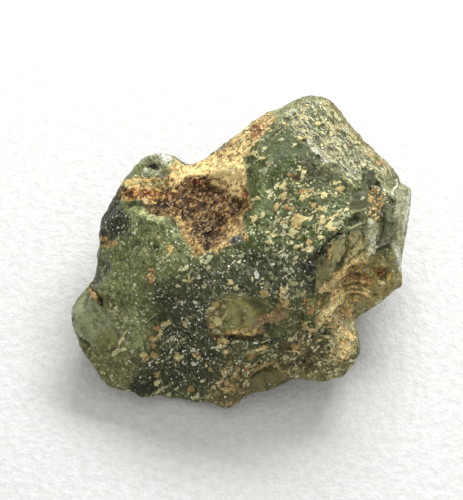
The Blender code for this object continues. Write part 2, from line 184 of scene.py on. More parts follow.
# Steps: line with the raised side on its right as seen, rise, its run in pixels, drop, its run
LEDGES = {
    "crown foot": (
        [
            (370, 200), (368, 214), (364, 225), (350, 231), (338, 232), (328, 240), (318, 252), (316, 270),
            (314, 291),
        ],
        0.26, 9.0, 0.34, 9.0,
    ),
    "patch edge": ([(247, 157), (247, 176), (250, 193), (250, 209), (243, 216)], 0.10, 8.0, 0.05, 8.0),
    "tail edge": (
        [(180, 229), (172, 215), (160, 212), (149, 210), (143, 202), (122, 203)],
        0.14, 6.0, 0.20, 5.0,
    ),
    "facet": ([(396, 246), (395, 225), (396, 202)], 0.20, 6.0, 0.15, 3.0),
}

# Pits: middle, half sizes in pixels, turn in degrees, depth
PITS = {
    "frosty knob pit": ((152, 166), (5.0, 4.0), 0, 0.32),
    "frosty knob hole": ((162, 168), (2.4, 2.4), 0, 0.15),
    "notch": ((184, 162), (5.0, 3.0), 20, 0.20),
    "under the tail": ((159, 204), (12.0, 4.5), 12, 0.38),
    "patch groove": ((205, 190), (17.0, 2.8), 4, 0.07),
    "patch shade": ((186, 212), (9.0, 5.0), 40, 0.22),
    "patch middle": ((215, 221), (7.0, 5.0), 0, 0.22),
    "patch right": ((238, 205), (8.0, 4.0), 5, 0.22),
    "patch hole": ((211, 236), (5.5, 4.5), 0, 0.34),
    "patch foot": ((206, 247), (3.0, 4.0), 0, 0.30),
    "patch top": ((214, 178), (7.0, 3.0), 5, 0.05),
    "lens": ((349, 224), (9.0, 4.5), -45, 0.30),
    "stain pit": ((297, 177), (6.0, 3.5), 0, 0.20),
    "orange pit": ((382, 274), (6.5, 6.0), 0, 0.42),
    "knob pit": ((323, 332), (6.0, 5.0), 0, 0.16),
    "knob small pit": ((314, 336), (3.0, 3.0), 0, 0.10),
    "valley notch": ((164, 318), (6.0, 3.5), -10, 0.16),
    "pocket": ((243, 314), (16.0, 13.0), 0, 0.08),
    "dark by the bar": ((268, 327), (7.0, 4.5), -15, 0.10),
    "gully": ((295, 318), (6.0, 12.0), 5, 0.16),
    "dark under": ((282, 348), (10.0, 4.5), 0, 0.20),
    "foot pit": ((191, 389), (5.0, 5.0), 0, 0.16),
    "bottom hollow": ((140, 381), (11.0, 8.0), 0, 0.24),
    "lobe pit 1": ((95, 311), (2.6, 2.4), 0, 0.14),
    "lobe pit 2": ((104, 323), (3.0, 3.2), 0, 0.16),
    "lobe pit 3": ((116, 350), (3.2, 2.6), 0, 0.18),
    "lobe pit 4": ((97, 354), (3.0, 4.0), 0, 0.12),
    "stain notch": ((107, 242), (8.0, 4.5), 30, 0.20),
}

# Crumbs of clay, raised: middle, half sizes in pixels, turn in degrees, height, paint
CRUMBS = {
    "crown": [
        (318, 124, 3.4, 2.6, 0, 0.14, "cream"), (337, 128, 5.0, 2.2, 20, 0.12, "cream"),
        (332, 134, 3.4, 1.8, -40, 0.10, "cream"), (358, 143, 3.6, 1.8, 30, 0.12, "cream"),
        (284, 124, 3.0, 2.0, 0, 0.10, "cream"), (300, 138, 5.5, 1.8, 15, 0.12, "cream"),
        (254, 154, 6.5, 2.8, -12, 0.16, "cream"), (262, 158, 4.4, 1.8, 10, 0.08, "cream"),
        (270, 163, 3.4, 1.8, 0, 0.06, "flake"), (264, 171, 4.4, 2.6, -10, 0.08, "frost"),
        (379, 163, 3.0, 2.4, 30, 0.12, "ochre"), (372, 156, 4.0, 1.8, 40, 0.10, "sand"),
    ],
    "crown lower": [
        (283, 185, 5.5, 2.6, -50, 0.14, "cream"), (291, 175, 5.0, 2.0, -10, 0.10, "ochre"),
        (303, 174, 2.4, 5.0, 20, 0.10, "cream"), (298, 183, 4.0, 1.8, 0, 0.10, "cream"),
        (305, 191, 9.0, 2.4, 0, 0.12, "ochre"), (304, 197, 5.5, 3.2, -30, 0.14, "cream"),
        (284, 198, 4.5, 3.0, 20, 0.12, "sand"), (277, 207, 2.6, 5.0, 10, 0.10, "sand"),
        (290, 208, 6.0, 3.0, 0, 0.12, "ochre"), (297, 222, 5.5, 9.0, 15, 0.20, "sand"),
        (294, 234, 5.0, 3.2, -20, 0.16, "cream"), (314, 205, 3.2, 3.0, 0, 0.12, "sand"),
        (321, 209, 4.4, 2.8, 10, 0.14, "cream"), (341, 189, 4.6, 2.4, 0, 0.10, "sand"),
        (336, 183, 4.8, 2.0, -10, 0.10, "cream"), (324, 195, 2.6, 4.4, 25, 0.10, "cream"),
        (322, 221, 3.4, 5.0, 10, 0.12, "cream"), (329, 225, 4.6, 2.4, -40, 0.12, "cream"),
        (306, 219, 4.2, 1.8, -20, 0.10, "cream"), (335, 216, 5.6, 1.8, -30, 0.10, "cream"),
        (338, 224, 5.6, 1.8, -25, 0.10, "frost"), (347, 216, 4.4, 1.6, 15, 0.10, "frost"),
        (254, 219, 4.2, 3.4, -30, 0.10, "cream"), (262, 216, 3.0, 2.0, -60, 0.08, "cream"),
        (256, 199, 6.0, 2.0, -5, 0.08, "cream"), (251, 206, 2.0, 4.0, 10, 0.08, "sand"),
    ],
    "middle": [
        (331, 231, 4.2, 2.4, -15, 0.18, "cream"), (320, 238, 3.4, 2.4, 20, 0.14, "cream"),
        (299, 246, 6.5, 2.4, -10, 0.16, "cream"), (309, 243, 2.6, 3.4, 0, 0.14, "sand"),
        (310, 250, 3.6, 2.8, -50, 0.14, "cream"), (276, 236, 4.6, 1.8, 0, 0.10, "cream"),
        (269, 242, 3.4, 1.8, -10, 0.10, "cream"), (268, 232, 3.0, 1.8, 0, 0.10, "cream"),
        (285, 226, 3.0, 3.6, 0, 0.10, "frost"), (284, 233, 2.6, 2.2, 30, 0.08, "frost"),
        (282, 256, 5.0, 2.0, -15, 0.12, "frost"), (286, 269, 2.4, 5.0, -30, 0.12, "frost"),
        (280, 263, 3.0, 2.4, 0, 0.10, "pale green"), (257, 275, 2.8, 3.6, 0, 0.12, "white"),
        (273, 264, 2.4, 1.4, -30, 0.10, "white"), (294, 284, 6.6, 3.6, 15, 0.16, "pale green"),
        (298, 293, 3.0, 3.6, 0, 0.12, "pale green"), (265, 292, 4.4, 4.6, 20, 0.14, "sand"),
        (267, 285, 2.6, 3.8, 0, 0.10, "pale green"), (272, 277, 2.2, 3.4, 20, 0.10, "pale green"),
        (310, 278, 3.6, 3.0, 0, 0.10, "pale green"), (231, 282, 3.4, 2.6, 20, 0.14, "cream"),
        (242, 294, 4.0, 1.6, -20, 0.10, "frost"), (189, 279, 1.6, 3.0, -20, 0.12, "cream"),
        (199, 277, 1.6, 2.6, 0, 0.10, "white"), (171, 249, 3.8, 3.8, 0, 0.16, "yellow clay"),
        (151, 278, 3.0, 5.6, 0, 0.06, "ochre"), (151, 270, 3.0, 1.8, 0, 0.10, "ochre"),
    ],
    "valley": [
        (165, 325, 5.6, 2.8, -30, 0.18, "cream"), (158, 328, 4.4, 2.6, -10, 0.14, "ochre"),
        (161, 332, 4.4, 1.6, -60, 0.12, "cream"), (154, 339, 4.6, 2.6, 10, 0.14, "sand"),
        (154, 346, 4.0, 2.4, -20, 0.14, "ochre"), (144, 355, 5.4, 2.4, -10, 0.16, "cream"),
        (154, 356, 3.6, 3.6, 20, 0.16, "sand"), (146, 359, 4.0, 2.0, -30, 0.12, "ochre"),
        (151, 363, 3.4, 1.4, -50, 0.12, "white"), (177, 357, 5.8, 3.6, -20, 0.24, "cream"),
        (174, 359, 2.6, 2.2, 0, 0.06, "ochre"), (197, 355, 4.8, 3.2, 0, 0.20, "cream"),
        # The white crumb at (194, 363) is a painted glint
        (197, 353, 2.4, 1.4, 0, 0.04, "orange"), (194, 363, 2.8, 1.6, 20, 0.12, "white"),
        (184, 363, 1.8, 1.4, 0, 0.10, "white"), (185, 325, 4.4, 2.4, 40, 0.14, "cream"),
        (157, 374, 2.6, 4.0, 20, 0.18, "sand"), (133, 335, 3.6, 1.4, -40, 0.10, "pale green"),
        (196, 302, 3.2, 1.6, 0, 0.10, "white"), (182, 303, 1.6, 1.4, 0, 0.08, "white"),
        (206, 364, 1.6, 3.0, 0, 0.10, "sand"), (211, 370, 2.0, 2.6, 20, 0.10, "sand"),
        (192, 351, 3.0, 1.2, -20, 0.08, "white"), (171, 351, 2.4, 1.2, -40, 0.08, "white"),
    ],
    "pocket": [
        (217, 305, 4.4, 4.0, 0, 0.14, "sand"), (224, 307, 2.6, 2.0, 0, 0.10, "cream"),
        (218, 322, 4.6, 5.6, 0, 0.20, "cream"), (212, 326, 3.0, 3.0, 0, 0.14, "sand"),
        (217, 338, 5.0, 4.0, 10, 0.16, "brown"), (225, 341, 5.0, 2.2, 10, 0.14, "tan"),
        (222, 346, 4.6, 1.6, 0, 0.12, "cream"), (213, 348, 3.4, 1.6, 0, 0.12, "white"),
        (226, 352, 4.0, 2.0, -45, 0.12, "tan"), (253, 323, 1.6, 3.8, 20, 0.12, "frost"),
        (257, 326, 1.4, 3.4, -10, 0.12, "frost"), (245, 330, 5.6, 2.2, 0, 0.12, "tan"),
        (282, 292, 2.8, 6.0, 0, 0.18, "tan"), (286, 303, 5.6, 4.8, 0, 0.20, "sand"),
        (279, 307, 2.0, 4.4, 10, 0.12, "ochre"), (266, 341, 5.6, 1.6, -20, 0.14, "cream"),
        (262, 348, 6.6, 1.6, -18, 0.14, "tan"), (253, 356, 6.0, 2.6, -25, 0.12, "ochre"),
        (256, 343, 3.0, 1.4, 0, 0.10, "white"), (305, 326, 4.0, 4.2, 0, 0.22, "sand"),
        (306, 321, 4.6, 1.4, 10, 0.10, "cream"), (295, 346, 6.6, 3.0, 5, 0.22, "ochre"),
        (296, 351, 7.0, 1.3, 6, 0.16, "tan"), (309, 312, 4.4, 2.6, 0, 0.10, "ochre"),
        (330, 284, 8.0, 4.2, -42, 0.22, "tan"), (323, 290, 5.0, 3.8, -30, 0.16, "tan"),
    ],
    "foot": [
        (224, 373, 3.0, 4.0, 0, 0.12, "sand"), (233, 376, 3.6, 1.4, 0, 0.10, "sand"),
        (232, 387, 3.6, 5.6, 0, 0.16, "ochre"), (226, 390, 3.0, 3.4, 40, 0.12, "sand"),
        (242, 366, 4.0, 3.0, 0, 0.12, "brown"), (240, 362, 2.0, 1.4, 0, 0.10, "frost"),
        (247, 370, 3.0, 2.0, 0, 0.08, "orange"), (191, 389, 3.0, 3.6, 0, 0.06, "ochre"),
    ],
    "side": [
        (378, 218, 3.6, 2.8, 10, 0.16, "sand"), (371, 212, 2.0, 3.6, 0, 0.10, "sand"),
        (376, 190, 2.2, 3.4, 20, 0.10, "ochre"), (382, 203, 1.8, 4.4, 10, 0.10, "ochre"),
        (371, 200, 1.8, 3.4, 0, 0.10, "sand"), (374, 186, 2.2, 1.4, 0, 0.10, "white"),
        (371, 223, 2.6, 1.6, 0, 0.12, "white"), (371, 240, 2.4, 2.4, 0, 0.10, "white"),
        (377, 247, 2.6, 1.4, 0, 0.10, "white"), (363, 198, 1.6, 2.6, 0, 0.10, "frost"),
        (364, 239, 2.0, 3.0, 0, 0.08, "orange"), (392, 233, 2.0, 1.2, 0, 0.08, "white"),
        (400, 192, 3.4, 2.0, 30, 0.06, "flake"), (403, 199, 1.6, 3.4, 0, 0.06, "flake"),
        (376, 270, 2.4, 3.6, 30, 0.14, "orange"), (381, 282, 4.2, 2.4, 15, 0.18, "cream"),
        (389, 277, 2.2, 3.8, 10, 0.14, "yellow clay"), (384, 265, 3.4, 1.9, 20, 0.12, "tan"),
        (352, 271, 4.0, 1.0, -15, 0.06, "orange"), (364, 276, 4.4, 1.0, 10, 0.06, "orange"),
        (358, 288, 4.0, 1.0, -10, 0.06, "ochre"), (374, 262, 3.0, 1.0, 20, 0.06, "moss"),
    ],
    "knob": [
        (335, 331, 2.2, 1.6, 0, 0.06, "orange"), (318, 326, 3.4, 1.8, -40, 0.12, "cream"),
        (327, 337, 3.0, 1.8, 20, 0.10, "cream"), (309, 344, 2.6, 2.0, 0, 0.10, "cream"),
        (340, 336, 7.0, 2.8, 20, 0.14, "cream"), (352, 326, 2.2, 5.0, -10, 0.10, "cream"),
        (331, 341, 2.0, 3.0, 10, 0.10, "cream"), (319, 340, 3.0, 2.2, 0, 0.12, "tan"),
        (312, 330, 2.6, 3.4, 20, 0.12, "tan"), (311, 337, 1.8, 1.6, 0, 0.10, "white"),
    ],
    "tail": [
        (146, 181, 5.0, 2.0, 5, 0.10, "yellow clay"), (132, 184, 4.0, 2.0, -10, 0.10, "yellow clay"),
        (160, 184, 4.4, 2.0, 0, 0.10, "cream"), (127, 186, 2.6, 1.6, 0, 0.08, "cream"),
        (138, 183, 3.0, 1.7, 10, 0.08, "cream"), (150, 185, 3.2, 1.6, 0, 0.08, "cream"),
        (162, 182, 3.0, 1.7, -15, 0.08, "cream"), (169, 186, 2.6, 1.6, 0, 0.08, "tan"),
        (141, 195, 3.0, 1.7, 0, 0.08, "orange"), (130, 200, 3.2, 1.4, 8, 0.10, "yellow clay"),
        (153, 201, 3.2, 1.4, 6, 0.10, "yellow clay"), (158, 190, 2.6, 1.6, 0, 0.08, "yellow clay"),
        (133, 190, 2.4, 1.5, 0, 0.08, "orange"),
    ],
    "frosty knob": [
        (165, 158, 6.0, 3.0, 20, 0.04, "white"), (166, 172, 5.0, 3.0, 0, 0.04, "pale green"),
    ],
}

# Paints, as the eye reads them from 0 to 255, before light, grains and chips change them
PAINTS = {
    "olive": (98, 104, 60),
    "green": (80, 92, 46),
    "smooth green": (112, 119, 72),
    "pale green": (160, 166, 114),
    "pocket green": (188, 184, 115),
    "gully green": (124, 122, 84),
    "facet grey": (128, 129, 100),
    "band": (220, 218, 176),
    "shelf": (250, 224, 162),
    "panel": (206, 196, 140),
    "panel shade": (150, 146, 98),
    "hollow olive": (166, 153, 91),
    "corner green": (68, 69, 28),
    "bar": (160, 134, 96),
    # Painted shade under the crown's ledge and lip
    "ledge shade green": (46, 48, 30),
    "side green": (148, 154, 106),
    "pocket shade": (132, 134, 82),
    "foot moss": (124, 126, 76),
    "tail green": (178, 184, 130),
    "strip green": (106, 118, 70),
    "panel face": (188, 182, 126),
    "corner olive": (98, 98, 54),
    "tip olive": (150, 140, 90),
    "valley green": (69, 75, 46),
    "knob gold": (248, 212, 134),
    "deep rust": (99, 52, 22),
    "tail orange": (182, 128, 66),
    "knob grey": (170, 174, 134),
    # Painted shade in the bottom left notch
    "bottom shade green": (52, 56, 28),
    "rim grey": (49, 49, 32),
    "foot brown": (116, 107, 64),
    "streak earth": (160, 130, 82),
    "moss": (128, 120, 70),
    "earth": (178, 151, 92),
    "deep green": (84, 89, 60),
    "night green": (74, 78, 54),
    "shade brown": (106, 96, 64),
    # Painted shade of the pocket under the crown's edge
    "lens shade brown": (34, 33, 10),
    "dark grey": (60, 61, 46),
    "lobe green": (172, 180, 134),
    "lobe moss": (146, 147, 92),
    "grey": (114, 116, 86),
    "frost": (180, 184, 148),
    "white": (232, 233, 214),
    "flake": (176, 177, 138),
    "cream": (221, 210, 148),
    "tan": (230, 204, 142),
    "sand": (196, 172, 112),
    "yellow clay": (222, 188, 108),
    "ochre": (176, 146, 92),
    "orange": (160, 118, 72),
    "rust": (128, 78, 42),
    "brown": (110, 84, 53),
    "dark brown": (80, 60, 40),
    "umber": (56, 44, 32),
    "plum": (100, 94, 98),
}

# What the bare glass starts from, before the patches: its paint, and how much of each thing lies on it.
# Flakes are chips of pale clay, dust is fine pale points, bright turns the points white as painted glints and
# warm the flakes brown, falling turns the chips' direction, clean is glass without etching, and plain takes
# grain away.
BARE_PAINT = "olive"
BARE = {
    "clay": 0.0, "flakes": 0.20, "dust": 0.35, "bright": 0.35, "warm": 0.1, "falling": 0.0, "frost": 0.0,
    "clean": 0.2, "plain": 0.0,
}

# Patches: corners, softness of the border in pixels, and what changes inside
PATCHES = {
    "left side": (
        [
            (96, 232), (92, 285), (100, 302), (125, 312), (150, 318), (164, 300), (160, 262), (150, 240),
            (128, 234),
        ],
        11.0, look("smooth green", flakes=0.08, dust=0.65, clean=0.3, bright=0.1, plain=0.2),
    ),
    "left edge": (
        [(88, 250), (97, 246), (100, 262), (98, 280), (104, 292), (96, 292), (86, 286)],
        3.0, look("deep green"),
    ),
    "left dark": (
        [
            (94, 234), (100, 216), (108, 200), (118, 188), (124, 200), (120, 208), (128, 214), (134, 226),
            (128, 232), (116, 242),
        ],
        6.0, look("rim grey", flakes=0.06, dust=0.3, clean=0.0, bright=0.4),
    ),
    "left of the patch": (
        [
            (122, 203), (146, 204), (160, 212), (176, 218), (182, 232), (190, 246), (198, 262), (160, 264),
            (134, 236),
        ],
        3.0, look("smooth green", flakes=0.12, dust=0.85, clean=0.15, plain=0.0),
    ),
    "under the tail": (
        [(122, 204), (144, 202), (160, 212), (172, 218), (160, 222), (138, 216), (126, 210)],
        3.0, look("tail green", flakes=0.02, dust=0.2, clean=0.0),
    ),
    "middle": (
        [
            (192, 258), (215, 258), (245, 243), (250, 215), (300, 200), (345, 195), (350, 228), (322, 250),
            (316, 290), (290, 300), (235, 296), (200, 292), (180, 275),
        ],
        6.0, look("green", flakes=0.42, dust=0.45, clean=0.0, bright=0.35),
    ),
    "middle dark": (
        [
            (200, 262), (250, 250), (285, 246), (312, 252), (316, 290), (285, 300), (225, 296), (190, 300),
            (180, 280),
        ],
        11.0, look("deep green", flakes=0.3, dust=0.5, bright=0.8, plain=0.0),
    ),
    "crown front": (
        [
            (247, 158), (262, 146), (280, 130), (296, 134), (318, 155), (332, 170), (342, 205), (300, 215),
            (250, 214),
        ],
        4.0, look("green", flakes=0.26, dust=0.35, clean=0.25, bright=0.1, plain=0.2),
    ),
    "crown clear": (
        [(260, 142), (284, 129), (294, 140), (296, 158), (284, 168), (264, 150)],
        4.0, look(flakes=0.04, dust=0.06, clean=0.3),
    ),
    "crown strip": (
        [(248, 160), (268, 170), (276, 214), (250, 214)],
        4.0, look("strip green", flakes=0.14, dust=0.6, bright=0.1),
    ),
    "crown lower": (
        [(280, 178), (318, 174), (350, 182), (348, 226), (322, 244), (296, 250), (276, 236), (272, 208)],
        5.0, look("green", flakes=0.6, dust=0.0, warm=0.5, clean=0.0, bright=0.1),
    ),
    "crown dark corner": (
        [(298, 158), (314, 156), (328, 168), (336, 178), (318, 184), (304, 182), (302, 170)],
        4.0, look("corner green", flakes=0.03, dust=0.05, clean=0.2, frost=0.0),
    ),
    "crown yellow": (
        [(256, 216), (276, 222), (286, 240), (262, 248), (244, 240), (244, 222)],
        5.0, look("green", flakes=0.35, dust=0.5),
    ),
    "upper right face": (
        [
            (276, 124), (286, 107), (303, 97), (318, 94), (332, 100), (346, 120), (361, 139), (382, 153),
            (397, 171), (398, 180), (378, 182), (364, 171), (350, 180), (336, 170), (318, 156), (303, 142),
            (290, 131),
        ],
        3.0, look("grey", flakes=1.15, dust=0.8, warm=0.15, falling=1.0, frost=0.45, clean=0.0),
    ),
    "upper right rim": (
        [
            (318, 95), (334, 100), (352, 124), (380, 150), (399, 172), (392, 176), (360, 148), (338, 122),
            (322, 104),
        ],
        3.5, look("moss", frost=0.1, warm=0.4),
    ),
    "slope": (
        [
            (206, 158), (222, 141), (236, 130), (250, 118), (262, 110), (274, 110), (281, 118), (270, 129),
            (258, 141), (250, 151), (258, 152), (254, 158), (230, 158),
        ],
        2.0, look("olive", clay=0.66, flakes=0.2, dust=0.3, clean=0.0, earth="tan"),
    ),
    "slope edge": (
        [(204, 158), (214, 148), (228, 134), (236, 130), (228, 142), (214, 156)],
        2.0, look("grey", clay=0.3),
    ),
    "slope far end": (
        [(272, 112), (288, 101), (302, 98), (294, 112), (283, 122), (276, 122)],
        3.0, look("pale green", clay=0.2, frost=0.4),
    ),
    "clay patch": (
        [
            (124, 204), (119, 196), (120, 186), (129, 179), (140, 176), (150, 179), (163, 176), (170, 166),
            (172, 160), (190, 163), (212, 150), (230, 152), (245, 157), (246, 176), (249, 193), (250, 208),
            (243, 216), (244, 229), (236, 244), (220, 252), (206, 253), (200, 259), (192, 248), (183, 234),
            (180, 226), (172, 215), (160, 213), (149, 211), (144, 202), (134, 200),
        ],
        1.6, look("tan", clay=1.0, flakes=0.1, dust=0.2, clean=0.0),
    ),
    "patch brown": (
        [
            (166, 190), (178, 184), (190, 177), (206, 176), (214, 184), (220, 191), (234, 195), (246, 201),
            (246, 212), (236, 220), (228, 228), (226, 240), (214, 250), (204, 250), (198, 240), (186, 228),
            (176, 216), (158, 211), (146, 206), (150, 199), (166, 198),
        ],
        3.0, look("brown"),
    ),
    "patch orange edge": (
        [(180, 226), (190, 230), (202, 244), (206, 256), (196, 257), (188, 246)],
        2.5, look("ochre"),
    ),
    "patch right edge": (
        [(238, 190), (250, 194), (250, 210), (242, 214), (230, 226), (226, 222), (244, 208)],
        2.0, look("ochre"),
    ),
    "patch yellow": (
        [(126, 180), (150, 181), (170, 178), (174, 186), (156, 190), (138, 188), (124, 190)],
        2.4, look("tan"),
    ),
    "patch yellow low": ([(140, 184), (170, 180), (176, 188), (170, 192), (150, 191)], 2.0, look("sand")),
    "patch tail": (
        [(122, 196), (126, 190), (140, 189), (152, 191), (170, 190), (172, 196), (150, 199), (130, 200)],
        1.8, look("tail orange"),
    ),
    "frosty knob": (
        [
            (138, 164), (148, 157), (160, 152), (170, 153), (174, 160), (169, 168), (165, 176), (150, 178),
            (138, 176),
        ],
        2.6, look("knob grey", flakes=0.1, dust=0.6, frost=0.68, clean=0.0),
    ),
    "knob shoulder": (
        [(112, 196), (124, 178), (132, 168), (140, 160), (146, 162), (140, 174), (128, 178), (120, 190)],
        2.0, look("side green", flakes=0.0, dust=0.1, clean=0.4),
    ),
    "notch rim": ([(174, 158), (184, 158), (190, 165), (182, 163)], 1.5, look("grey", clay=0.0)),
    "stain": (
        [(99, 237), (106, 235), (112, 239), (117, 246), (111, 249), (101, 246)],
        1.8, look("ochre", clay=0.95),
    ),
    "lobe": (
        [
            (69, 312), (78, 296), (88, 289), (97, 300), (108, 316), (120, 333), (118, 345), (106, 350),
            (88, 344), (76, 334),
        ],
        3.0, look("lobe green", flakes=0.0, dust=0.06, clean=1.0),
    ),
    "lobe shade": (
        [(92, 334), (108, 328), (122, 340), (118, 350), (98, 350)],
        4.0, look("lobe moss", clean=0.5),
    ),
    "lobe foot": (
        [(80, 338), (92, 348), (112, 352), (128, 350), (140, 366), (134, 388), (112, 394), (92, 366)],
        4.0, look("foot moss", flakes=0.15, dust=0.35, warm=0.3, clean=0.5),
    ),
    "beside the lobe": (
        [(104, 306), (140, 312), (152, 330), (146, 352), (124, 350), (122, 334), (110, 318)],
        6.0, look("side green", flakes=0.12, dust=0.6, clean=0.3),
    ),
    "valley": (
        [
            (150, 284), (196, 286), (214, 300), (212, 345), (232, 352), (236, 372), (214, 392), (170, 394),
            (140, 396), (132, 386), (142, 368), (156, 350), (164, 330), (158, 308),
        ],
        13.0, look("valley green", flakes=0.12, dust=0.38, clean=0.2, bright=1.0, plain=0.0),
    ),
    "valley night": (
        [(166, 300), (200, 292), (208, 300), (206, 345), (190, 350), (176, 350), (166, 340), (172, 322)],
        11.0, look("night green", dust=0.62, bright=1.0),
    ),
    "valley foot": ([(168, 364), (210, 356), (232, 366), (216, 388), (176, 392)], 5.0, look(dust=0.3)),
    # Painted shade in the notch at the bottom left
    "bottom left": (
        [(128, 384), (136, 374), (150, 372), (158, 378), (154, 392), (138, 398)],
        4.0, look("bottom shade green", dust=0.1, flakes=0.02),
    ),
    "pocket side": (
        [
            (208, 303), (220, 298), (230, 304), (226, 318), (224, 332), (226, 342), (220, 347), (211, 340),
            (209, 322),
        ],
        3.0, look("moss", clay=0.25, flakes=1.2, warm=0.4, earth="sand"),
    ),
    "pocket": (
        [(228, 300), (243, 296), (262, 303), (266, 314), (256, 326), (240, 331), (229, 327), (224, 314)],
        8.0, look("pocket green", flakes=0.05, dust=0.05, clean=0.45, clay=0.0, plain=0.5),
    ),
    "pocket top": (
        [(240, 296), (264, 302), (266, 314), (252, 310)],
        4.0, look("pocket shade", plain=0.7, clean=0.4),
    ),
    "pocket foot": (
        [(224, 332), (240, 328), (262, 324), (264, 331), (252, 336), (226, 338)],
        2.0, look("sand", clay=0.7),
    ),
    "pocket bar": (
        [(256, 318), (268, 313), (292, 309), (294, 315), (276, 322), (262, 330), (256, 326)],
        2.4, look("bar", clay=0.6, earth="bar", plain=0.4, flakes=0.1),
    ),
    "gully": (
        [(287, 312), (300, 306), (303, 332), (292, 338), (286, 328)],
        3.4, look("gully green", flakes=0.05, dust=0.1, clean=0.0, clay=0.0),
    ),
    "under the pocket": (
        [(206, 340), (262, 338), (290, 338), (285, 350), (250, 354), (214, 352)],
        3.0, look("deep green", flakes=0.3),
    ),
    "dark by the knob": (
        [(270, 346), (288, 336), (310, 328), (318, 340), (328, 352), (326, 368), (298, 372), (282, 360)],
        5.0, look("shade brown", flakes=0.25, dust=0.3, warm=0.6),
    ),
    "foot right": (
        [
            (232, 352), (262, 350), (292, 366), (296, 378), (262, 392), (242, 404), (222, 410), (204, 402),
            (214, 384),
        ],
        5.0, look("foot brown", flakes=0.3, dust=0.3, warm=0.7, clean=0.2),
    ),
    "foot panel": (
        [(250, 380), (258, 370), (270, 364), (278, 370), (286, 378), (262, 391), (250, 392)],
        2.0, look("moss", flakes=0.02, dust=0.06, clean=0.7),
    ),
    "foot specks": (
        [(238, 352), (262, 348), (284, 352), (266, 360), (252, 368), (246, 380), (236, 374)],
        3.0, look("olive", flakes=0.8, clay=0.25, earth="ochre"),
    ),
    "knob": (
        [
            (312, 332), (320, 312), (338, 300), (352, 297), (358, 322), (360, 346), (354, 362), (338, 370),
            (326, 366), (330, 352), (326, 338),
        ],
        3.0, look("moss", clay=0.46, flakes=1.5, dust=0.8, warm=0.25, clean=0.0, earth="tan"),
    ),
    "knob lower": (
        [(292, 370), (330, 366), (352, 358), (350, 370), (330, 384), (300, 382)],
        3.0, look("moss", flakes=0.32, clean=0.2, dust=0.5),
    ),
    "hollow": (
        [
            (334, 276), (350, 264), (372, 258), (396, 262), (402, 288), (380, 300), (362, 314), (348, 322),
            (338, 298),
        ],
        3.0, look("hollow olive", clay=0.5, flakes=0.1, dust=0.1, clean=0.0, earth="earth", plain=0.3),
    ),
    "hollow side": (
        [(376, 256), (398, 262), (402, 288), (384, 300), (362, 314), (356, 306), (372, 290)],
        4.0, look("hollow olive", clay=0.3, clean=0.4, plain=0.3),
    ),
    "tan fold": (
        [
            (320, 291), (328, 281), (337, 271), (343, 273), (338, 284), (344, 300), (334, 310), (325, 318),
            (316, 332), (311, 330), (318, 316), (330, 304), (332, 294),
        ],
        1.8, look("tan", clay=0.9),
    ),
    "beside the fold": (
        [(302, 298), (330, 294), (330, 304), (318, 314), (312, 322), (302, 312)],
        3.0, look("foot moss", clay=0.42, flakes=0.3, warm=0.5, earth="earth"),
    ),
    "fans": (
        [(350, 238), (366, 232), (367, 258), (350, 262), (343, 266)],
        1.8, look("panel", clay=0.3, warm=0.3, flakes=0.1, dust=0.1, plain=0.3),
    ),
    "panel": (
        [(332, 240), (349, 237), (348, 250), (338, 266), (330, 266)],
        1.6, look("panel face", flakes=0.0, dust=0.15, clean=0.15, plain=0.5),
    ),
    "panel foot": (
        [(330, 262), (340, 264), (332, 276), (322, 290), (316, 290), (318, 270), (324, 256)],
        2.4, look("panel shade", flakes=0.0, dust=0.15, clean=0.4, plain=0.5),
    ),
    # Painted shade: the dark strip under the crown's ledge, which the overhang shades
    "under the ledge": (
        [
            (300, 262), (312, 252), (328, 240), (338, 234), (330, 246), (322, 258), (316, 276), (312, 292),
            (306, 280),
        ],
        3.0, look("ledge shade green", flakes=0.05, dust=0.15),
    ),
    "crown corner": (
        [(351, 190), (366, 188), (367, 209), (348, 209)],
        1.6, look("corner green", flakes=0.0, dust=0.0, clean=0.4, frost=0.0, plain=0.6),
    ),
    "crown gap": (
        [(360, 168), (376, 170), (380, 190), (370, 194), (362, 186)],
        2.4, look("deep green", flakes=0.1, dust=0.1, frost=0.1),
    ),
    "crown white": ([(344, 170), (356, 168), (362, 178), (352, 182)], 2.0, look("frost", frost=0.6)),
    "below the corner": (
        [(350, 212), (366, 212), (366, 222), (354, 229)],
        1.6, look("corner olive", flakes=0.03, dust=0.1, clean=0.5, frost=0.0, plain=0.5),
    ),
    # Painted shade: the dark pocket under the crown's edge
    "lens": (
        [(341, 229), (348, 220), (360, 210), (359, 218), (351, 229)],
        1.2, look("lens shade brown", flakes=0.0, dust=0.0, frost=0.0, clean=0.0, plain=0.6),
    ),
    "side streak": (
        [(367, 190), (378, 184), (386, 206), (383, 226), (374, 222), (367, 210)],
        2.0, look("corner green", clay=0.45, flakes=0.3, warm=0.7, earth="streak earth", plain=0.5),
    ),
    "white band": (
        [(367, 223), (372, 219), (380, 226), (378, 242), (374, 256), (366, 257)],
        1.8, look("band", frost=0.6, flakes=0.1, plain=0.0),
    ),
    # Painted shade in the gap between the bands of the right side
    "side dark": (
        [(384, 204), (388, 204), (384, 226), (381, 244), (377, 246), (380, 232)],
        1.5, look("deep green", flakes=0.0, clay=0.0),
    ),
    "facet": (
        [(387, 206), (390, 200), (397, 206), (395, 234), (391, 246), (382, 247), (384, 228)],
        1.6, look("facet grey", flakes=0.0, dust=0.25, clean=0.6),
    ),
    "chip": (
        [(376, 172), (396, 172), (396, 188), (391, 196), (383, 190)],
        1.4, look("pale green", flakes=0.9, clean=0.1, warm=0.3),
    ),
    "side flake": (
        [
            (395, 181), (412, 186), (411, 202), (405, 232), (402, 260), (396, 262), (391, 246), (395, 230),
            (397, 204),
        ],
        1.6, look("flake", flakes=0.25, dust=0.4, frost=0.35, clean=0.6),
    ),
    "side tip": (
        [(389, 248), (397, 256), (402, 270), (402, 290), (392, 288), (388, 266)],
        2.0, look("tip olive", clean=0.4, flakes=0.05),
    ),
}

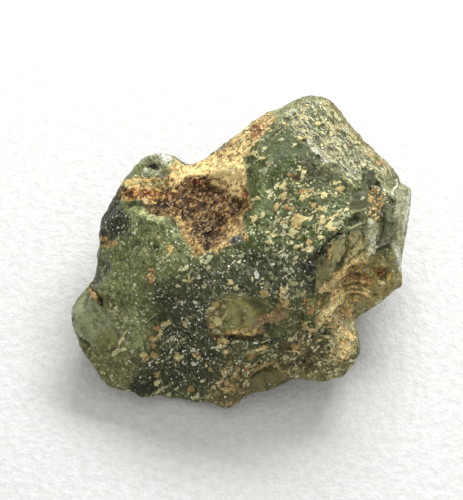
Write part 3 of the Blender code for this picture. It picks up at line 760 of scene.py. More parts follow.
# Dabs: middle, half sizes in pixels, turn in degrees, and what changes inside
DABS = {
    "patch plum": ((215, 178), (6, 2.4), 10, look("dark brown")),
    "patch red": ((199, 182), (8, 3.6), 15, look("rust")),
    "patch dark line": ((205, 190), (16, 2.4), 4, look("brown")),
    "patch right hollow": ((238, 204), (9, 4.4), 5, look("brown")),
    "patch hole": ((211, 235), (6, 4.6), 0, look("umber")),
    "patch cavity": ((160, 203), (11, 4), 12, look("umber")),
    "patch cavity left": ((153, 207), (6, 3), 0, look("umber")),
    "patch shade": ((186, 211), (10, 6), 40, look("dark brown")),
    "patch middle shade": ((215, 221), (10, 6), 0, look("dark brown")),
    "patch low shade": ((205, 232), (12, 11), 0, look("umber")),
    "patch shelf": ((228, 170), (16, 13), 0, look("shelf", plain=0.45)),
    "patch left shelf": ((192, 170), (18, 5), -15, look(plain=0.5)),
    "patch red edge": ((246, 194), (3.4, 4), 0, look("rust")),
    "patch red edge low": ((245, 207), (3, 4), 0, look("orange")),
    "patch tail red": ((146, 193), (6, 3.4), 0, look("deep rust")),
    "patch tail red left": ((130, 195), (6, 3), 0, look("deep rust")),
    "patch tail red right": ((164, 192), (7, 3), 8, look("deep rust")),
    "patch notch": ((207, 248), (3, 3.4), 0, look("night green", clay=0.2)),
    "patch low edge": ((230, 230), (5, 4), -40, look("tan")),
    "glassy spot": ((236, 240), (8, 4), -25, look("plum", clay=0.05, frost=0.35, flakes=0.0)),
    "glassy spot rim": ((245, 236), (3, 5), -20, look("tan", clay=0.7)),
    "slope rust": ((257, 130), (5, 10), 30, look("orange")),
    "knob pit": ((152, 166), (5, 4), 0, look("dark grey", frost=0.0)),
    "knob hole": ((162, 168), (2.4, 2.6), 0, look("dark grey")),
    "tail corner": ((123, 189), (3.4, 3), 0, look("umber", clay=0.7)),
    "crown stain": ((297, 177), (5.5, 3.0), 0, look("dark brown", clay=0.8)),
    "crack clay": ((93, 295), (2.6, 8), -35, look("ochre", clay=1.0)),
    "crack dark": ((102, 305), (1.6, 1.8), -40, look("umber", clean=0.0)),
    "knob yellow": ((345, 337), (7, 6), 0, look("knob gold", clay=1.0, plain=0.35)),
    "knob cream": ((344, 351), (9, 7), 0, look("shelf", clay=0.6, plain=0.2)),
    "notch night": ((164, 318), (6, 3), -10, look("deep green")),
    "bar hole": ((268, 327), (6, 3.6), -15, look("deep green", clay=0.0)),
    "knob pit dark": ((323, 332), (5.5, 4.4), 0, look("deep green", clay=0.0, flakes=0.3)),
    "knob small pit": ((314, 336), (2.6, 2.6), 0, look("shade brown", clay=0.0)),
    "hollow moss 1": ((356, 291), (10, 2.4), -10, look("moss", clay=0.15)),
    "hollow moss 2": ((372, 268), (8, 2.2), 15, look("moss", clay=0.15)),
    "hollow low": ((354, 307), (10, 7), 0, look("tip olive")),
    "knob top": ((340, 312), (10, 7), 0, look("streak earth")),
    "hollow dark": ((360, 280), (13, 3.4), 0, look("orange")),
    "hollow rust": ((350, 276), (9, 2.6), -5, look("orange")),
    "hollow rust 2": ((368, 284), (7, 3), 25, look("ochre")),
    "orange pit": ((382, 273), (3.4, 3.0), 0, look("rust", clay=1.0)),
    "panel edge": ((330, 254), (1.8, 9), 5, look("sand", clay=0.8)),
    "crown lower left": ((288, 202), (13, 13), 0, look(flakes=0.78)),
    "crown lower right": ((335, 212), (12, 13), 0, look(flakes=0.44)),
    "valley rise": ((188, 292), (18, 8), 0, look("deep green")),
    "left rim speckle": ((108, 222), (8, 12), 25, look("rim grey", flakes=0.05, dust=0.3)),
    "stain dark": ((102, 243), (3, 2.6), 20, look("umber", clay=0.5)),
}

# Streaks: line, half width in pixels, and what changes along it
STREAKS = {
    # Painted highlight: the crown's white ridge is laid with strong frost, as the whitish highlight along its
    # crease
    "white crown ridge": ([(306, 140), (312, 146), (319, 153), (326, 160), (336, 162)], 3.2, look(frost=1.7)),
    "upper ridge": ([(286, 117), (292, 112), (302, 107)], 2.6, look(frost=1.0)),
    "crown corner line": (
        [(344, 178), (350, 183), (356, 190)],
        1.8, look("pale green", frost=0.6, flakes=0.0),
    ),
    "crown corner side": ([(352, 191), (350, 200), (348, 206)], 1.5, look("grey", frost=0.1)),
    "crown lip": (
        [(336, 234), (344, 231), (351, 228), (364, 223)],
        1.3, look("pale green", frost=0.1, flakes=0.0),
    ),
    "lip above the lens": (
        [(350, 211), (358, 212), (366, 211)],
        1.2, look("pale green", dust=0.0, bright=0.0),
    ),
    "chip lower line": ([(379, 182), (387, 191), (396, 200)], 1.5, look("frost", frost=0.7, flakes=0.0)),
    "chip right line": ([(396, 179), (395, 188), (391, 195)], 1.4, look("white", frost=0.7)),
    "flake line": ([(396, 186), (397, 204), (395, 224), (393, 244)], 1.4, look("frost", frost=0.5)),
    "flake right": ([(409, 190), (407, 208), (403, 232)], 2.2, look("white", frost=0.35)),
    "flake tip": ([(397, 244), (399, 258), (400, 272)], 1.8, look("white", frost=0.6)),
    "band edge": ([(366, 224), (366, 240), (366, 258)], 1.3, look("pale green", flakes=0.0)),
    "fold": ([(366, 259), (354, 261), (346, 266), (338, 275), (328, 286)], 1.7, look("tan", clay=0.8)),
    "tan fold": (
        [(341, 292), (339, 301), (330, 309), (321, 318), (316, 328)],
        2.0, look("cream", clay=0.9, plain=0.4),
    ),
    "shelf fibre 1": ([(208, 172), (222, 163), (240, 158)], 1.5, look("cream", plain=0.5)),
    "shelf fibre 2": ([(214, 176), (230, 168), (245, 164)], 1.5, look("cream", plain=0.5)),
    "shelf fibre 3": ([(222, 183), (234, 176), (246, 173)], 1.5, look("shelf", plain=0.5)),
    "shelf fibre 4": ([(232, 189), (240, 184), (247, 182)], 1.4, look("shelf", plain=0.5)),
    "fan line 1": ([(343, 264), (352, 255), (364, 244)], 1.0, look("cream", clay=0.8)),
    "fan line 2": ([(345, 268), (356, 259), (366, 252)], 1.0, look("tan", clay=0.8)),
    "fan line 3": ([(341, 260), (348, 250), (352, 240)], 0.9, look("sand", clay=0.5)),
    "fan shade 1": ([(346, 264), (355, 255), (366, 247)], 0.8, look("dark brown", clay=0.0, plain=0.0)),
    "fan shade 2": ([(350, 250), (357, 243), (362, 236)], 0.8, look("shade brown", clay=0.0, plain=0.0)),
    "panel rim": ([(336, 243), (331, 251), (329, 259)], 1.3, look("tan", clay=0.9)),
    "panel line": ([(347, 240), (346, 251), (341, 261)], 0.9, look("deep green", plain=0.0)),
    "lip shade": (
        [(365, 227), (358, 231), (346, 234), (338, 237), (332, 242), (327, 251)],
        1.5, look("ledge shade green", clay=0.0, flakes=0.0, frost=0.0),
    ),
    "flow 2": ([(186, 328), (174, 341), (162, 357)], 1.0, look("olive")),
    "flow 3": ([(202, 334), (190, 346), (178, 358)], 1.0, look("olive")),
    "flow 4": ([(176, 326), (166, 338), (158, 350)], 0.9, look("grey")),
    "fibre 1": ([(341, 275), (354, 270), (368, 273)], 1.2, look("sand", clay=0.9)),
    "fibre 2": ([(341, 284), (355, 280), (370, 283)], 1.2, look("sand", clay=0.9)),
    "fibre 3": ([(344, 293), (356, 291), (370, 296)], 1.4, look("tan", clay=0.9)),
    "fibre 4": ([(346, 300), (350, 308), (352, 318)], 1.2, look("sand", clay=0.9)),
    "fibre 5": ([(336, 274), (346, 269), (360, 269), (371, 278)], 0.9, look("sand", clay=0.9)),
    "fibre 6": ([(348, 288), (360, 286), (372, 292)], 0.9, look("tan", clay=0.9)),
    "fibre 7": ([(337, 277), (343, 289), (346, 300)], 0.9, look("cream", clay=0.9)),
    "fibre shade 1": ([(343, 278), (354, 273), (366, 277)], 0.9, look("brown", clay=0.3, plain=0.0)),
    "fibre shade 2": ([(345, 286), (357, 282), (371, 286)], 0.9, look("brown", clay=0.3, plain=0.0)),
    "fibre shade 3": ([(348, 296), (358, 294), (370, 299)], 0.9, look("brown", clay=0.3, plain=0.0)),
    "pocket rim": ([(262, 331), (252, 335), (240, 331), (230, 334)], 1.5, look("tan", clay=0.9)),
    "pocket shade": ([(214, 336), (230, 337), (246, 338), (262, 337)], 1.8, look("dark brown", clay=0.3)),
    "second shade": ([(288, 338), (276, 342), (262, 346)], 1.6, look("night green", clay=0.0)),
    "flow ridge": ([(194, 331), (182, 342), (170, 354), (160, 368)], 1.2, look("olive")),
    "bottom rim": ([(150, 395), (158, 391), (168, 385)], 1.2, look("frost", frost=0.3)),
    "foot rim": ([(200, 400), (210, 395), (218, 391)], 1.2, look("pale green")),
    "foot panel rim": (
        [(246, 379), (256, 369), (266, 363), (275, 361), (281, 370), (292, 374)],
        1.2, look("sand", clay=0.6),
    ),
    "lobe line": ([(93, 306), (100, 316), (106, 324)], 1.3, look("pale green")),
    "lobe fold shade": ([(81, 339), (89, 346), (91, 356)], 1.1, look("deep green")),
    "crack line": ([(90, 287), (96, 293), (102, 304)], 1.3, look("dark brown", clay=0.3, clean=0.0)),
    "left rim shade": ([(112, 196), (122, 180), (130, 170), (138, 162)], 1.6, look("dark grey")),
}

# The hidden sides: size and seed of a noise, its sign, where it sets in, and what it changes
HIDDEN_LOOKS = [
    (7.0, 61.0, 1, -0.15, 0.35, look("green", flakes=0.6, dust=0.6)),
    (7.0, 61.0, -1, 0.10, 0.40, look("smooth green", flakes=0.1, dust=0.25, clean=0.6)),
    (4.5, 71.0, 1, 0.10, 0.35, look("deep green", flakes=0.3)),
    (4.5, 71.0, -1, 0.22, 0.40, look("grey", flakes=0.8, dust=0.8, frost=0.3)),
]

# Clay on them lies in the hollows: the height, size and seed of a noise that breaks these up, between which
# depths it sets in, the size and seed of a noise that picks places, where that sets in, and the clay's stains
HOLLOW_NOISE = (0.10, 1.2, 81.0)
HOLLOW_BAND = (0.05, 0.16)
CLAY_PLACES = (5.0, 83.0)
CLAY_BAND = (-0.10, 0.15)
HIDDEN_STAINS = [(1.6, 87.0, 0.0, 0.3, "brown"), (1.1, 91.0, 0.2, 0.45, "orange")]

# Linear colours of the glass and of what is scattered on it. A shade multiplies what it lies on.
GLASS_SHADE = (0.52, 0.53, 0.45)
GRAIN_SHADE = (0.28, 0.30, 0.22)
GRAIN_LIGHT = (1.7, 1.7, 1.6)
GRAIN_PALE = (0.48, 0.51, 0.34)
# Painted shade: what the glass is darkened toward in its pits and hollows
PAINTED_PIT_SHADE = (0.018, 0.020, 0.008)
# White of frost, and of the painted highlight along the crown's white ridge
FROST_AND_HIGHLIGHT_WHITE = (0.62, 0.63, 0.53)
# Painted glints: the white that bright points turn to
GLINT_WHITE = (0.98, 0.98, 0.86)
DUST_LIGHT = (1.9, 1.9, 1.7)
DUST_LIFT = (0.06, 0.065, 0.04)
FLAKE_TONES = [
    (0.0, (0.24, 0.26, 0.15)), (0.2, (0.41, 0.43, 0.25)), (0.45, (0.55, 0.54, 0.29)),
    (0.7, (0.60, 0.54, 0.29)), (0.9, (0.42, 0.32, 0.16)), (1.2, (0.24, 0.15, 0.06)),
]
FLAKE_GRAIN = (0.22, 0.17, 0.07)
# Painted shadow round each flake
FLAKE_PAINTED_SHADOW = (0.035, 0.040, 0.018)

# The same of crumbs and clay
CRUMB_SHADE = (0.87, 0.89, 0.95)
CRUMB_PIECE = (0.68, 0.62, 0.50)
CRUMB_GRAIN = (0.45, 0.41, 0.31)
CRUMB_GAP = (0.12, 0.10, 0.05)
# Painted shadow round each crumb
CRUMB_PAINTED_SHADOW = (0.035, 0.038, 0.018)
CLAY_SHADE = (0.22, 0.18, 0.14)
CLAY_LIGHT = (1.6, 1.6, 1.5)
CLAY_PALE = (0.70, 0.49, 0.22)
CLAY_GAP = (0.24, 0.19, 0.15)
CLAY_WARM = (0.85, 0.64, 0.42)
# Painted shade: what clay is darkened toward in its hollows
PAINTED_CLAY_HOLLOW_SHADE = (0.05, 0.036, 0.022)

# Sizes of what the material draws, in millimetres. Ragged, rougher and curly also have how far they reach.
RAGGED, ROUGHER, CURLY = (0.16, 0.05), (0.40, 0.16), (0.45, 0.26)
CROWD, MOTTLE, GRAIN, STROKE = 1.1, 0.60, 0.19, 0.22
SHARD, CLAY_EDGE, CLOD, SOIL, TINT = 0.30, 0.38, 0.18, 0.26, 0.8
POINT, DOME, FINE_GRAIN = 0.145, 0.34, 0.14

# How light goes through the glass and off it, and the relief that the material adds, in millimetres
GLASS_IOR = 1.5
GLASS_GLOSS = 0.24
GLASS_ABSORBS = (0.43, 0.46, 0.18, 1.0)
GLASS_DENSITY = 450.0
STONE_BUMP = (0.09, 0.9)

# Directions that chips and strokes are drawn out along: falling and rising to the right as seen
FALLING = (0.72, -0.61, -0.33)
RISING = (0.72, 0.61, 0.33)

# Layers of chips: their size, how far they are drawn out, and how many there are
CHIPS = [(0.50, 1.9, 0.20), (0.35, 2.5, 0.36), (0.24, 1.8, 0.30)]

# How far chips and points of dust stay inside their cell's edge, and how much that varies, in cells
FLAKE_GAPS = (0.04, 0.13)
POINT_GAPS = (0.03, 0.36)

# The right side, where all the cells are halved
FINE_AREA = [
    (312, 228), (346, 180), (376, 168), (402, 172), (416, 186),
    (404, 292), (356, 330), (308, 336), (312, 290),
]

# Natural relief over the whole stone, and more of it on clay: size, height, seed
ROUGHNESS = [(1.5, 0.13, 2.0), (0.8, 0.10, 5.0), (0.45, 0.085, 9.0)]
CLAY_ROUGHNESS = [(1.1, 0.14, 13.0), (0.5, 0.14, 17.0)]

# Etched pits over the whole stone: spacing, half width, depth, how many of the places have one, and seed
ETCHING = [(2.4, 0.62, 0.17, 0.45, 3.0), (0.95, 0.36, 0.12, 0.6, 11.0)]

# How much clean glass takes away of the relief, and clay and clean glass of the etching
CLEAN_SMOOTHS = 0.75
CLAY_FILLS, CLEAN_FILLS = 0.7, 0.6

# How the patches' borders wander: over what length, and how far in pixels. Lines, pits and crumbs wander
# less. The seeds are those of the two ways.
WANDER = [(1.6, 3.6), (0.55, 3.0)]
SMALL_WANDER = [(0.55, 1.3)]
CRUMB_WANDER = [(0.55, 1.3), (0.27, 1.5)]
WANDER_SEEDS = (31.0, 47.0)

# The paper: the floor's size in metres, its two colours, grain, roughness and relief
FLOOR_SIZE = 1.6
PAPER_COLORS = ((0.625, 0.624, 0.620), (0.715, 0.717, 0.719))
PAPER_GRAIN = 0.8
PAPER_ROUGHNESS = 0.9
PAPER_BUMP = (0.20, 1.0)

# The light: the window's size and place in metres and its power, and the room's colour and strength
WINDOW_SIZE = (0.17, 0.052)
WINDOW_PLACE = (0.053, 0.144, 0.148)
WINDOW_POWER = 0.58
ROOM_COLOR = (1.0, 0.985, 0.95, 1.0)
ROOM_STRENGTH = 0.76


def fade(value, start, end):
    """0 before start, 1 after end, and smooth between them."""
    t = np.clip((value - start) / (end - start), 0.0, 1.0)
    return t * t * (3.0 - 2.0 * t)


def mix(a, b, share):
    return a + (b - a) * share


def unit(vectors):
    return vectors / np.linalg.norm(vectors, axis=-1, keepdims=True)


def linear(paint):
    """A paint of 0 to 255, as the linear colour that the material works in."""
    value = np.array(PAINTS[paint]) / 255.0
    return np.where(value <= 0.04045, value / 12.92, ((value + 0.055) / 1.055) ** 2.4)


class View:
    """The camera's place, and where it sees a point in the photograph's frame."""

    def __init__(self, points):
        down = math.radians(LOOK_DOWN)
        self.right = np.array([1.0, 0.0, 0.0])
        self.up = np.array([0.0, math.sin(down), math.cos(down)])
        self.toward = np.array([0.0, -math.cos(down), math.sin(down)])
        self.aim = points.mean(axis=0)
        self.zoom = CAMERA_DISTANCE
        left, top, right, bottom = STONE_FRAME
        for _ in range(AIM_ROUNDS):
            across, drop = self.pixels(points)
            self.zoom *= (right - left) / (across.max() - across.min())
            across, drop = self.pixels(points)
            pixel = CAMERA_DISTANCE / self.zoom
            self.aim = self.aim + self.right * pixel * (across.max() + across.min() - left - right) / 2
            self.aim = self.aim - self.up * pixel * (drop.max() + drop.min() - top - bottom) / 2

    def pixels(self, points):
        """(across, down) of each point in the photograph's frame."""
        offset = points - self.aim
        depth = CAMERA_DISTANCE - offset @ self.toward
        across = FRAME_WIDTH / 2 + (offset @ self.right) / depth * self.zoom
        drop = FRAME_HEIGHT / 2 - (offset @ self.up) / depth * self.zoom
        return across, drop

    def make_camera(self):
        data = bpy.data.cameras.new("photograph view")
        data.sensor_width = SENSOR
        data.lens = SENSOR * self.zoom / FRAME_HEIGHT
        data.clip_start = CLIP_START
        camera = bpy.data.objects.new("photograph view", data)
        bpy.context.scene.collection.objects.link(camera)
        camera.location = Vector((self.aim + self.toward * CAMERA_DISTANCE) * MM)
        camera.rotation_euler = Vector(-self.toward).to_track_quat("-Z", "Y").to_euler()
        bpy.context.scene.camera = camera


class Skin:
    """The dense mesh while it is carved: its points in millimetres, its normals, and what the marks read."""

    def __init__(self, mesh, view):
        count = len(mesh.vertices)
        flat = np.zeros(count * 3)
        mesh.vertices.foreach_get("co", flat)
        self.points = flat.reshape(-1, 3) / MM
        mesh.calc_loop_triangles()
        corners = np.zeros(len(mesh.loop_triangles) * 3, int)
        mesh.loop_triangles.foreach_get("vertices", corners)
        self.triangles = corners.reshape(-1, 3)
        edges = np.zeros(len(mesh.edges) * 2, int)
        mesh.edges.foreach_get("vertices", edges)
        self.edges = edges.reshape(-1, 2)
        self.view = view
        self.measure()
        self.foot = fade(self.points[:, 2], *FOOT_BAND)
        self.patch_spot = self.wandering(WANDER)
        self.spot = self.wandering(SMALL_WANDER)
        self.crumb_spot = self.wandering(CRUMB_WANDER)
        self.front = fade(self.normals @ view.toward, *FRONT_BAND)
        self.marks = {name: np.full(count, value) for name, value in BARE.items()}
        self.marks["paint"] = np.tile(linear(BARE_PAINT), (count, 1))
        self.marks["earth"] = np.copy(self.marks["paint"])

    def wandering(self, waves):
        """Each point's pixel, moved about by noise."""
        across, drop = self.view.pixels(self.points)
        for size, reach in waves:
            across = across + reach * self.noise(size, WANDER_SEEDS[0])
            drop = drop + reach * self.noise(size, WANDER_SEEDS[1])
        return across, drop

    def measure(self):
        """The outward normals."""
        a, b, c = (self.points[self.triangles[:, k]] for k in range(3))
        face_normals = np.cross(b - a, c - a)
        normals = np.zeros_like(self.points)
        for k in range(3):
            for axis in range(3):
                normals[:, axis] += np.bincount(self.triangles[:, k], face_normals[:, axis], len(normals))
        self.normals = unit(normals)

    def push(self, amount):
        """Moves the surface out by an amount at each point, and leaves the foot flat."""
        self.points = self.points + self.normals * (amount * self.foot)[:, None]
        self.measure()

    def noise(self, size, seed):
        """Smooth noise of a size in millimetres, about -1 to 1."""
        shift = Vector((seed, -seed * 0.6, seed * 1.7))
        return np.array([noise.noise(Vector(p) / size + shift) for p in self.points])

    def blurred(self, values, times):
        """The values averaged with their neighbours', again and again."""
        a, b = self.edges[:, 0], self.edges[:, 1]
        count = len(self.points)
        degree = np.bincount(a, minlength=count) + np.bincount(b, minlength=count)
        columns = list(np.atleast_2d(values.T))
        for _ in range(times):
            columns = [
                (column + np.bincount(a, column[b], count) + np.bincount(b, column[a], count)) / (degree + 1)
                for column in columns
            ]
        return np.array(columns).T if values.ndim == 2 else columns[0]

    def hollowness(self, times):
        """How far the surface lies below its own average, in millimetres."""
        return np.sum((self.blurred(self.points, times) - self.points) * self.normals, axis=1)

    def pits(self, spacing, half_width, depth, share, seed):
        """Round pits of uneven size, one at a share of the places of an uneven lattice."""
        amount = np.zeros(len(self.points))
        shift = Vector((seed, seed, seed))
        for k, point in enumerate(self.points):
            distances, places = noise.voronoi(Vector(point) / spacing + shift)
            pick = noise.cell(places[0] * 7.0)
            reach = half_width / spacing * (0.55 + 0.45 * noise.cell(places[0] * 3.0))
            if pick < share and distances[0] < reach:
                amount[k] = -depth * (1.0 - (distances[0] / reach) ** 2)
        return amount

    def oval(self, middle, half_sizes, turn, hardness, spot=None):
        """1 inside an oval of the photograph, and 0 outside it."""
        angle = math.radians(turn)
        across, drop = spot or self.spot
        right, down = across - middle[0], drop - middle[1]
        along = right * math.cos(angle) + down * math.sin(angle)
        beside = down * math.cos(angle) - right * math.sin(angle)
        far = np.hypot(along / half_sizes[0], beside / half_sizes[1])
        return (1.0 - fade(far, hardness, 2.0 - hardness)) * self.front

    def polygon(self, corners, softness):
        """1 inside a polygon of the photograph, and 0 outside it."""
        corners = np.array(corners, float)
        reach = 3.0 * softness
        across, drop = self.patch_spot
        near = (across > corners[:, 0].min() - reach) & (across < corners[:, 0].max() + reach)
        near &= (drop > corners[:, 1].min() - reach) & (drop < corners[:, 1].max() + reach)
        x, y = across[near], drop[near]
        far = np.full(len(x), 1e9)
        inside = np.zeros(len(x), bool)
        for (x0, y0), (x1, y1) in zip(corners, np.roll(corners, -1, axis=0)):
            far = np.minimum(far, self.from_stretch(x, y, (x0, y0), (x1, y1))[0])
            crosses = (y0 > y) != (y1 > y)
            inside ^= crosses & (x < (x1 - x0) * (y - y0) / ((y1 - y0) or 1e-9) + x0)
        field = np.zeros(len(self.points))
        field[near] = fade(np.where(inside, far, -far), -softness, softness)
        return field * self.front

    @staticmethod
    def from_stretch(x, y, start, end):
        """Distance from a straight stretch, the share of the way along it, and the side it is on."""
        run = np.array(end, float) - np.array(start, float)
        share = np.clip(((x - start[0]) * run[0] + (y - start[1]) * run[1]) / (run @ run), 0.0, 1.0)
        right, down = x - start[0] - share * run[0], y - start[1] - share * run[1]
        side = np.sign(run[0] * down - run[1] * right)
        return np.hypot(right, down), share, side

    def from_line(self, line):
        """Distance from a line of the photograph, its side, and the share of the way along it."""
        lengths = [math.dist(a, b) for a, b in zip(line, line[1:])]
        far = np.full(len(self.points), 1e9)
        side = np.ones(len(self.points))
        share = np.zeros(len(self.points))
        done = 0.0
        for start, end, length in zip(line, line[1:], lengths):
            here, part, here_side = self.from_stretch(*self.spot, start, end)
            closer = here < far
            far = np.where(closer, here, far)
            side = np.where(closer, here_side, side)
            share = np.where(closer, (done + part * length) / sum(lengths), share)
            done += length
        return far, side, share

    def stroke(self, line, half_width):
        """1 along a line of the photograph, thinning toward both ends, and 0 beside it."""
        far, _, share = self.from_line(line)
        start, end = fade(share, 0.0, STROKE_TAPER), 1.0 - fade(share, 1.0 - STROKE_TAPER, 1.0)
        width = half_width * (STROKE_TIP + (1.0 - STROKE_TIP) * start * end)
        return np.exp(-((far / width) ** 2)) * self.front

    def step(self, line, rise, rise_run, drop, drop_run):
        """A ledge along a line of the photograph: up on its raised side, and down on the other."""
        far, side, share = self.from_line(line)
        ends = fade(share, 0.0, LEDGE_TAPER) * (1.0 - fade(share, 1.0 - LEDGE_TAPER, 1.0))
        up = fade(far * side, *LEDGE_BAND) * np.exp(-((far / rise_run) ** 2))
        down = fade(-far * side, *LEDGE_BAND) * np.exp(-((far / drop_run) ** 2))
        return (rise * up - drop * down) * ends * self.front

    def lay(self, field, changes):
        """Changes the marks where the field is 1. Clay has the same paint unless the earth is given."""
        if "paint" in changes:
            changes = {"earth": changes["paint"], **changes}
        for name, value in changes.items():
            if name in ("paint", "earth"):
                self.marks[name] = mix(self.marks[name], linear(value), field[:, None])
            else:
                self.marks[name] = mix(self.marks[name], value, field)


def dense_copy(node):
    """The solid as one even mesh, smoothed until its flat triangles are gone."""
    copy = bpy.data.objects.new("dense copy", node.data.copy())
    bpy.context.scene.collection.objects.link(copy)
    remesh = copy.modifiers.new("even", "REMESH")
    remesh.mode = "VOXEL"
    remesh.voxel_size = CELL * MM
    smooth = copy.modifiers.new("smooth", "SMOOTH")
    smooth.factor = SMOOTH_FACTOR
    smooth.iterations = SMOOTHINGS
    bpy.context.view_layer.update()
    mesh = bpy.data.meshes.new_from_object(copy.evaluated_get(bpy.context.evaluated_depsgraph_get()))
    bpy.data.objects.remove(copy)
    return mesh


def near_details(skin):
    """The points beside a line, pit or crumb, and all of the folded right side."""
    near = skin.polygon(FINE_AREA, FINE_SOFTNESS) > 0.1
    for line, half_width, _ in [*CREASES.values(), *RIDGES.values(), *STREAKS.values()]:
        near |= (skin.from_line(line)[0] < half_width + FINE_REACH) & (skin.front > 0.0)
    ovals = [(middle, half_sizes, turn) for middle, half_sizes, turn, _ in [*PITS.values(), *DABS.values()]]
    for crumbs in CRUMBS.values():
        ovals += [((right, down), sizes, turn) for right, down, *sizes, turn, _, _ in crumbs]
    for middle, half_sizes, turn in ovals:
        if min(half_sizes) < FINE_SIZE:
            grown = [size + FINE_REACH for size in half_sizes]
            near |= skin.oval(middle, grown, turn, DETAIL_EDGE) > 0.3
    return near


def refine(mesh, near):
    """Halves the cells that touch the points near details."""
    shape = bmesh.new()
    shape.from_mesh(mesh)
    edges = {edge for face in shape.faces if any(near[v.index] for v in face.verts) for edge in face.edges}
    bmesh.ops.subdivide_edges(shape, edges=list(edges), cuts=1, use_grid_fill=True)
    bmesh.ops.triangulate(shape, faces=shape.faces)
    every_way = {"use_axis_x": True, "use_axis_y": True, "use_axis_z": True}
    for _ in range(FINE_SMOOTHINGS):
        bmesh.ops.smooth_vert(shape, verts=shape.verts, factor=SMOOTH_FACTOR, **every_way)
    shape.to_mesh(mesh)
    shape.free()


def carve_places(skin):
    """The relief that the photograph shows at known places."""
    amount = np.zeros(len(skin.points))
    for line, rise, rise_run, drop, drop_run in LEDGES.values():
        amount += skin.step(line, rise, rise_run, drop, drop_run)
    for line, half_width, depth in CREASES.values():
        amount -= depth * skin.stroke(line, half_width)
    for line, half_width, height in RIDGES.values():
        amount += height * skin.stroke(line, half_width)
    for middle, half_sizes, turn, depth in PITS.values():
        amount -= depth * skin.oval(middle, half_sizes, turn, PIT_EDGE)
    for crumbs in CRUMBS.values():
        for right, down, *half_sizes, turn, height, _ in crumbs:
            field = skin.oval((right, down), half_sizes, turn, CRUMB_EDGE, skin.crumb_spot)
            amount += CRUMB_RISE * height * field
    skin.push(amount)


def lay_places(skin):
    """What the patches, the dabs and the streaks change, in that order."""
    for corners, softness, changes in PATCHES.values():
        skin.lay(skin.polygon(corners, softness), changes)
    for middle, half_sizes, turn, changes in DABS.values():
        skin.lay(skin.oval(middle, half_sizes, turn, DAB_EDGE), changes)
    for line, half_width, changes in STREAKS.values():
        skin.lay(skin.stroke(line, half_width), changes)


def lay_crumbs(skin):
    """How strongly each point belongs to a crumb, and that crumb's paint."""
    strength = np.zeros(len(skin.points))
    paints = np.tile(linear("cream"), (len(skin.points), 1))
    for crumbs in CRUMBS.values():
        for right, down, *half_sizes, turn, _, paint in crumbs:
            field = skin.oval((right, down), half_sizes, turn, CRUMB_PAINT_EDGE, skin.crumb_spot)
            strength = np.maximum(strength, field)
            paints = mix(paints, linear(paint), fade(field, 0.02, 0.25)[:, None])
    skin.marks["crumb"] = strength
    skin.marks["crumb paint"] = paints


def lay_hidden_sides(skin):
    """What the photograph doesn't show: the same clay, flecks, frost and clean glass, placed by noise."""
    hidden = 1.0 - skin.front
    for size, seed, sign, start, end, changes in HIDDEN_LOOKS:
        skin.lay(hidden * fade(sign * skin.noise(size, seed), start, end), changes)
    height, size, seed = HOLLOW_NOISE
    hollow = skin.hollowness(WIDE_HOLLOW_STEPS) + height * skin.noise(size, seed)
    clay = hidden * fade(hollow, *HOLLOW_BAND) * fade(skin.noise(*CLAY_PLACES), *CLAY_BAND)
    skin.lay(clay, look("sand", clay=0.95, clean=0.0))
    for size, seed, start, end, paint in HIDDEN_STAINS:
        skin.lay(clay * fade(skin.noise(size, seed), start, end), look(paint))


def roughen(skin):
    """Natural relief, stronger on clay and weaker on clean glass, and the pits of etching."""
    clay, clean = skin.marks["clay"], skin.marks["clean"]
    amount = np.zeros(len(skin.points))
    for size, height, seed in ROUGHNESS:
        amount += height * (1.0 - CLEAN_SMOOTHS * clean) * skin.noise(size, seed)
    for size, height, seed in CLAY_ROUGHNESS:
        amount += height * clay * skin.noise(size, seed)
    for pits in ETCHING:
        amount += skin.pits(*pits) * (1.0 - CLAY_FILLS * clay) * (1.0 - CLEAN_FILLS * clean)
    skin.push(amount)


def keep_in_box(skin):
    """Nothing stands further out than the solid's box and a little spare, or below its foot."""
    low, high = (np.array(corner) / MM for corner in cad_box)
    low, high = low - BOX_SPARE, high + BOX_SPARE
    low[2] = 0.0
    skin.points = np.clip(skin.points, low, high)


def store(mesh, name, values):
    """A mark on the mesh's points, as a number or as a colour for each."""
    if values.ndim == 2:
        values = np.column_stack([values, np.ones(len(values))])
        attribute = mesh.attributes.new(name, "FLOAT_COLOR", "POINT")
        attribute.data.foreach_set("color", values.astype(np.float32).ravel())
    else:
        attribute = mesh.attributes.new(name, "FLOAT", "POINT")
        attribute.data.foreach_set("value", values.astype(np.float32))


def make_stone(node):
    """The dressed stone, and the view that its places were read in."""
    mesh = dense_copy(node)
    flat = np.zeros(len(mesh.vertices) * 3)
    mesh.vertices.foreach_get("co", flat)
    view = View(flat.reshape(-1, 3) / MM)
    refine(mesh, near_details(Skin(mesh, view)))
    skin = Skin(mesh, view)
    lay_hidden_sides(skin)
    lay_places(skin)
    lay_crumbs(skin)
    carve_places(skin)
    roughen(skin)
    keep_in_box(skin)
    skin.measure()
    skin.marks["hollow"] = np.clip(skin.hollowness(HOLLOW_STEPS) * HOLLOW_GAIN, -1.0, 1.0)
    mesh.vertices.foreach_set("co", (skin.points * MM).ravel())
    mesh.update()
    for name, values in skin.marks.items():
        store(mesh, name, values)
    mesh.name = "stone"
    mesh.shade_smooth()
    stone = bpy.data.objects.new("stone", mesh)
    bpy.context.scene.collection.objects.link(stone)
    return stone, view


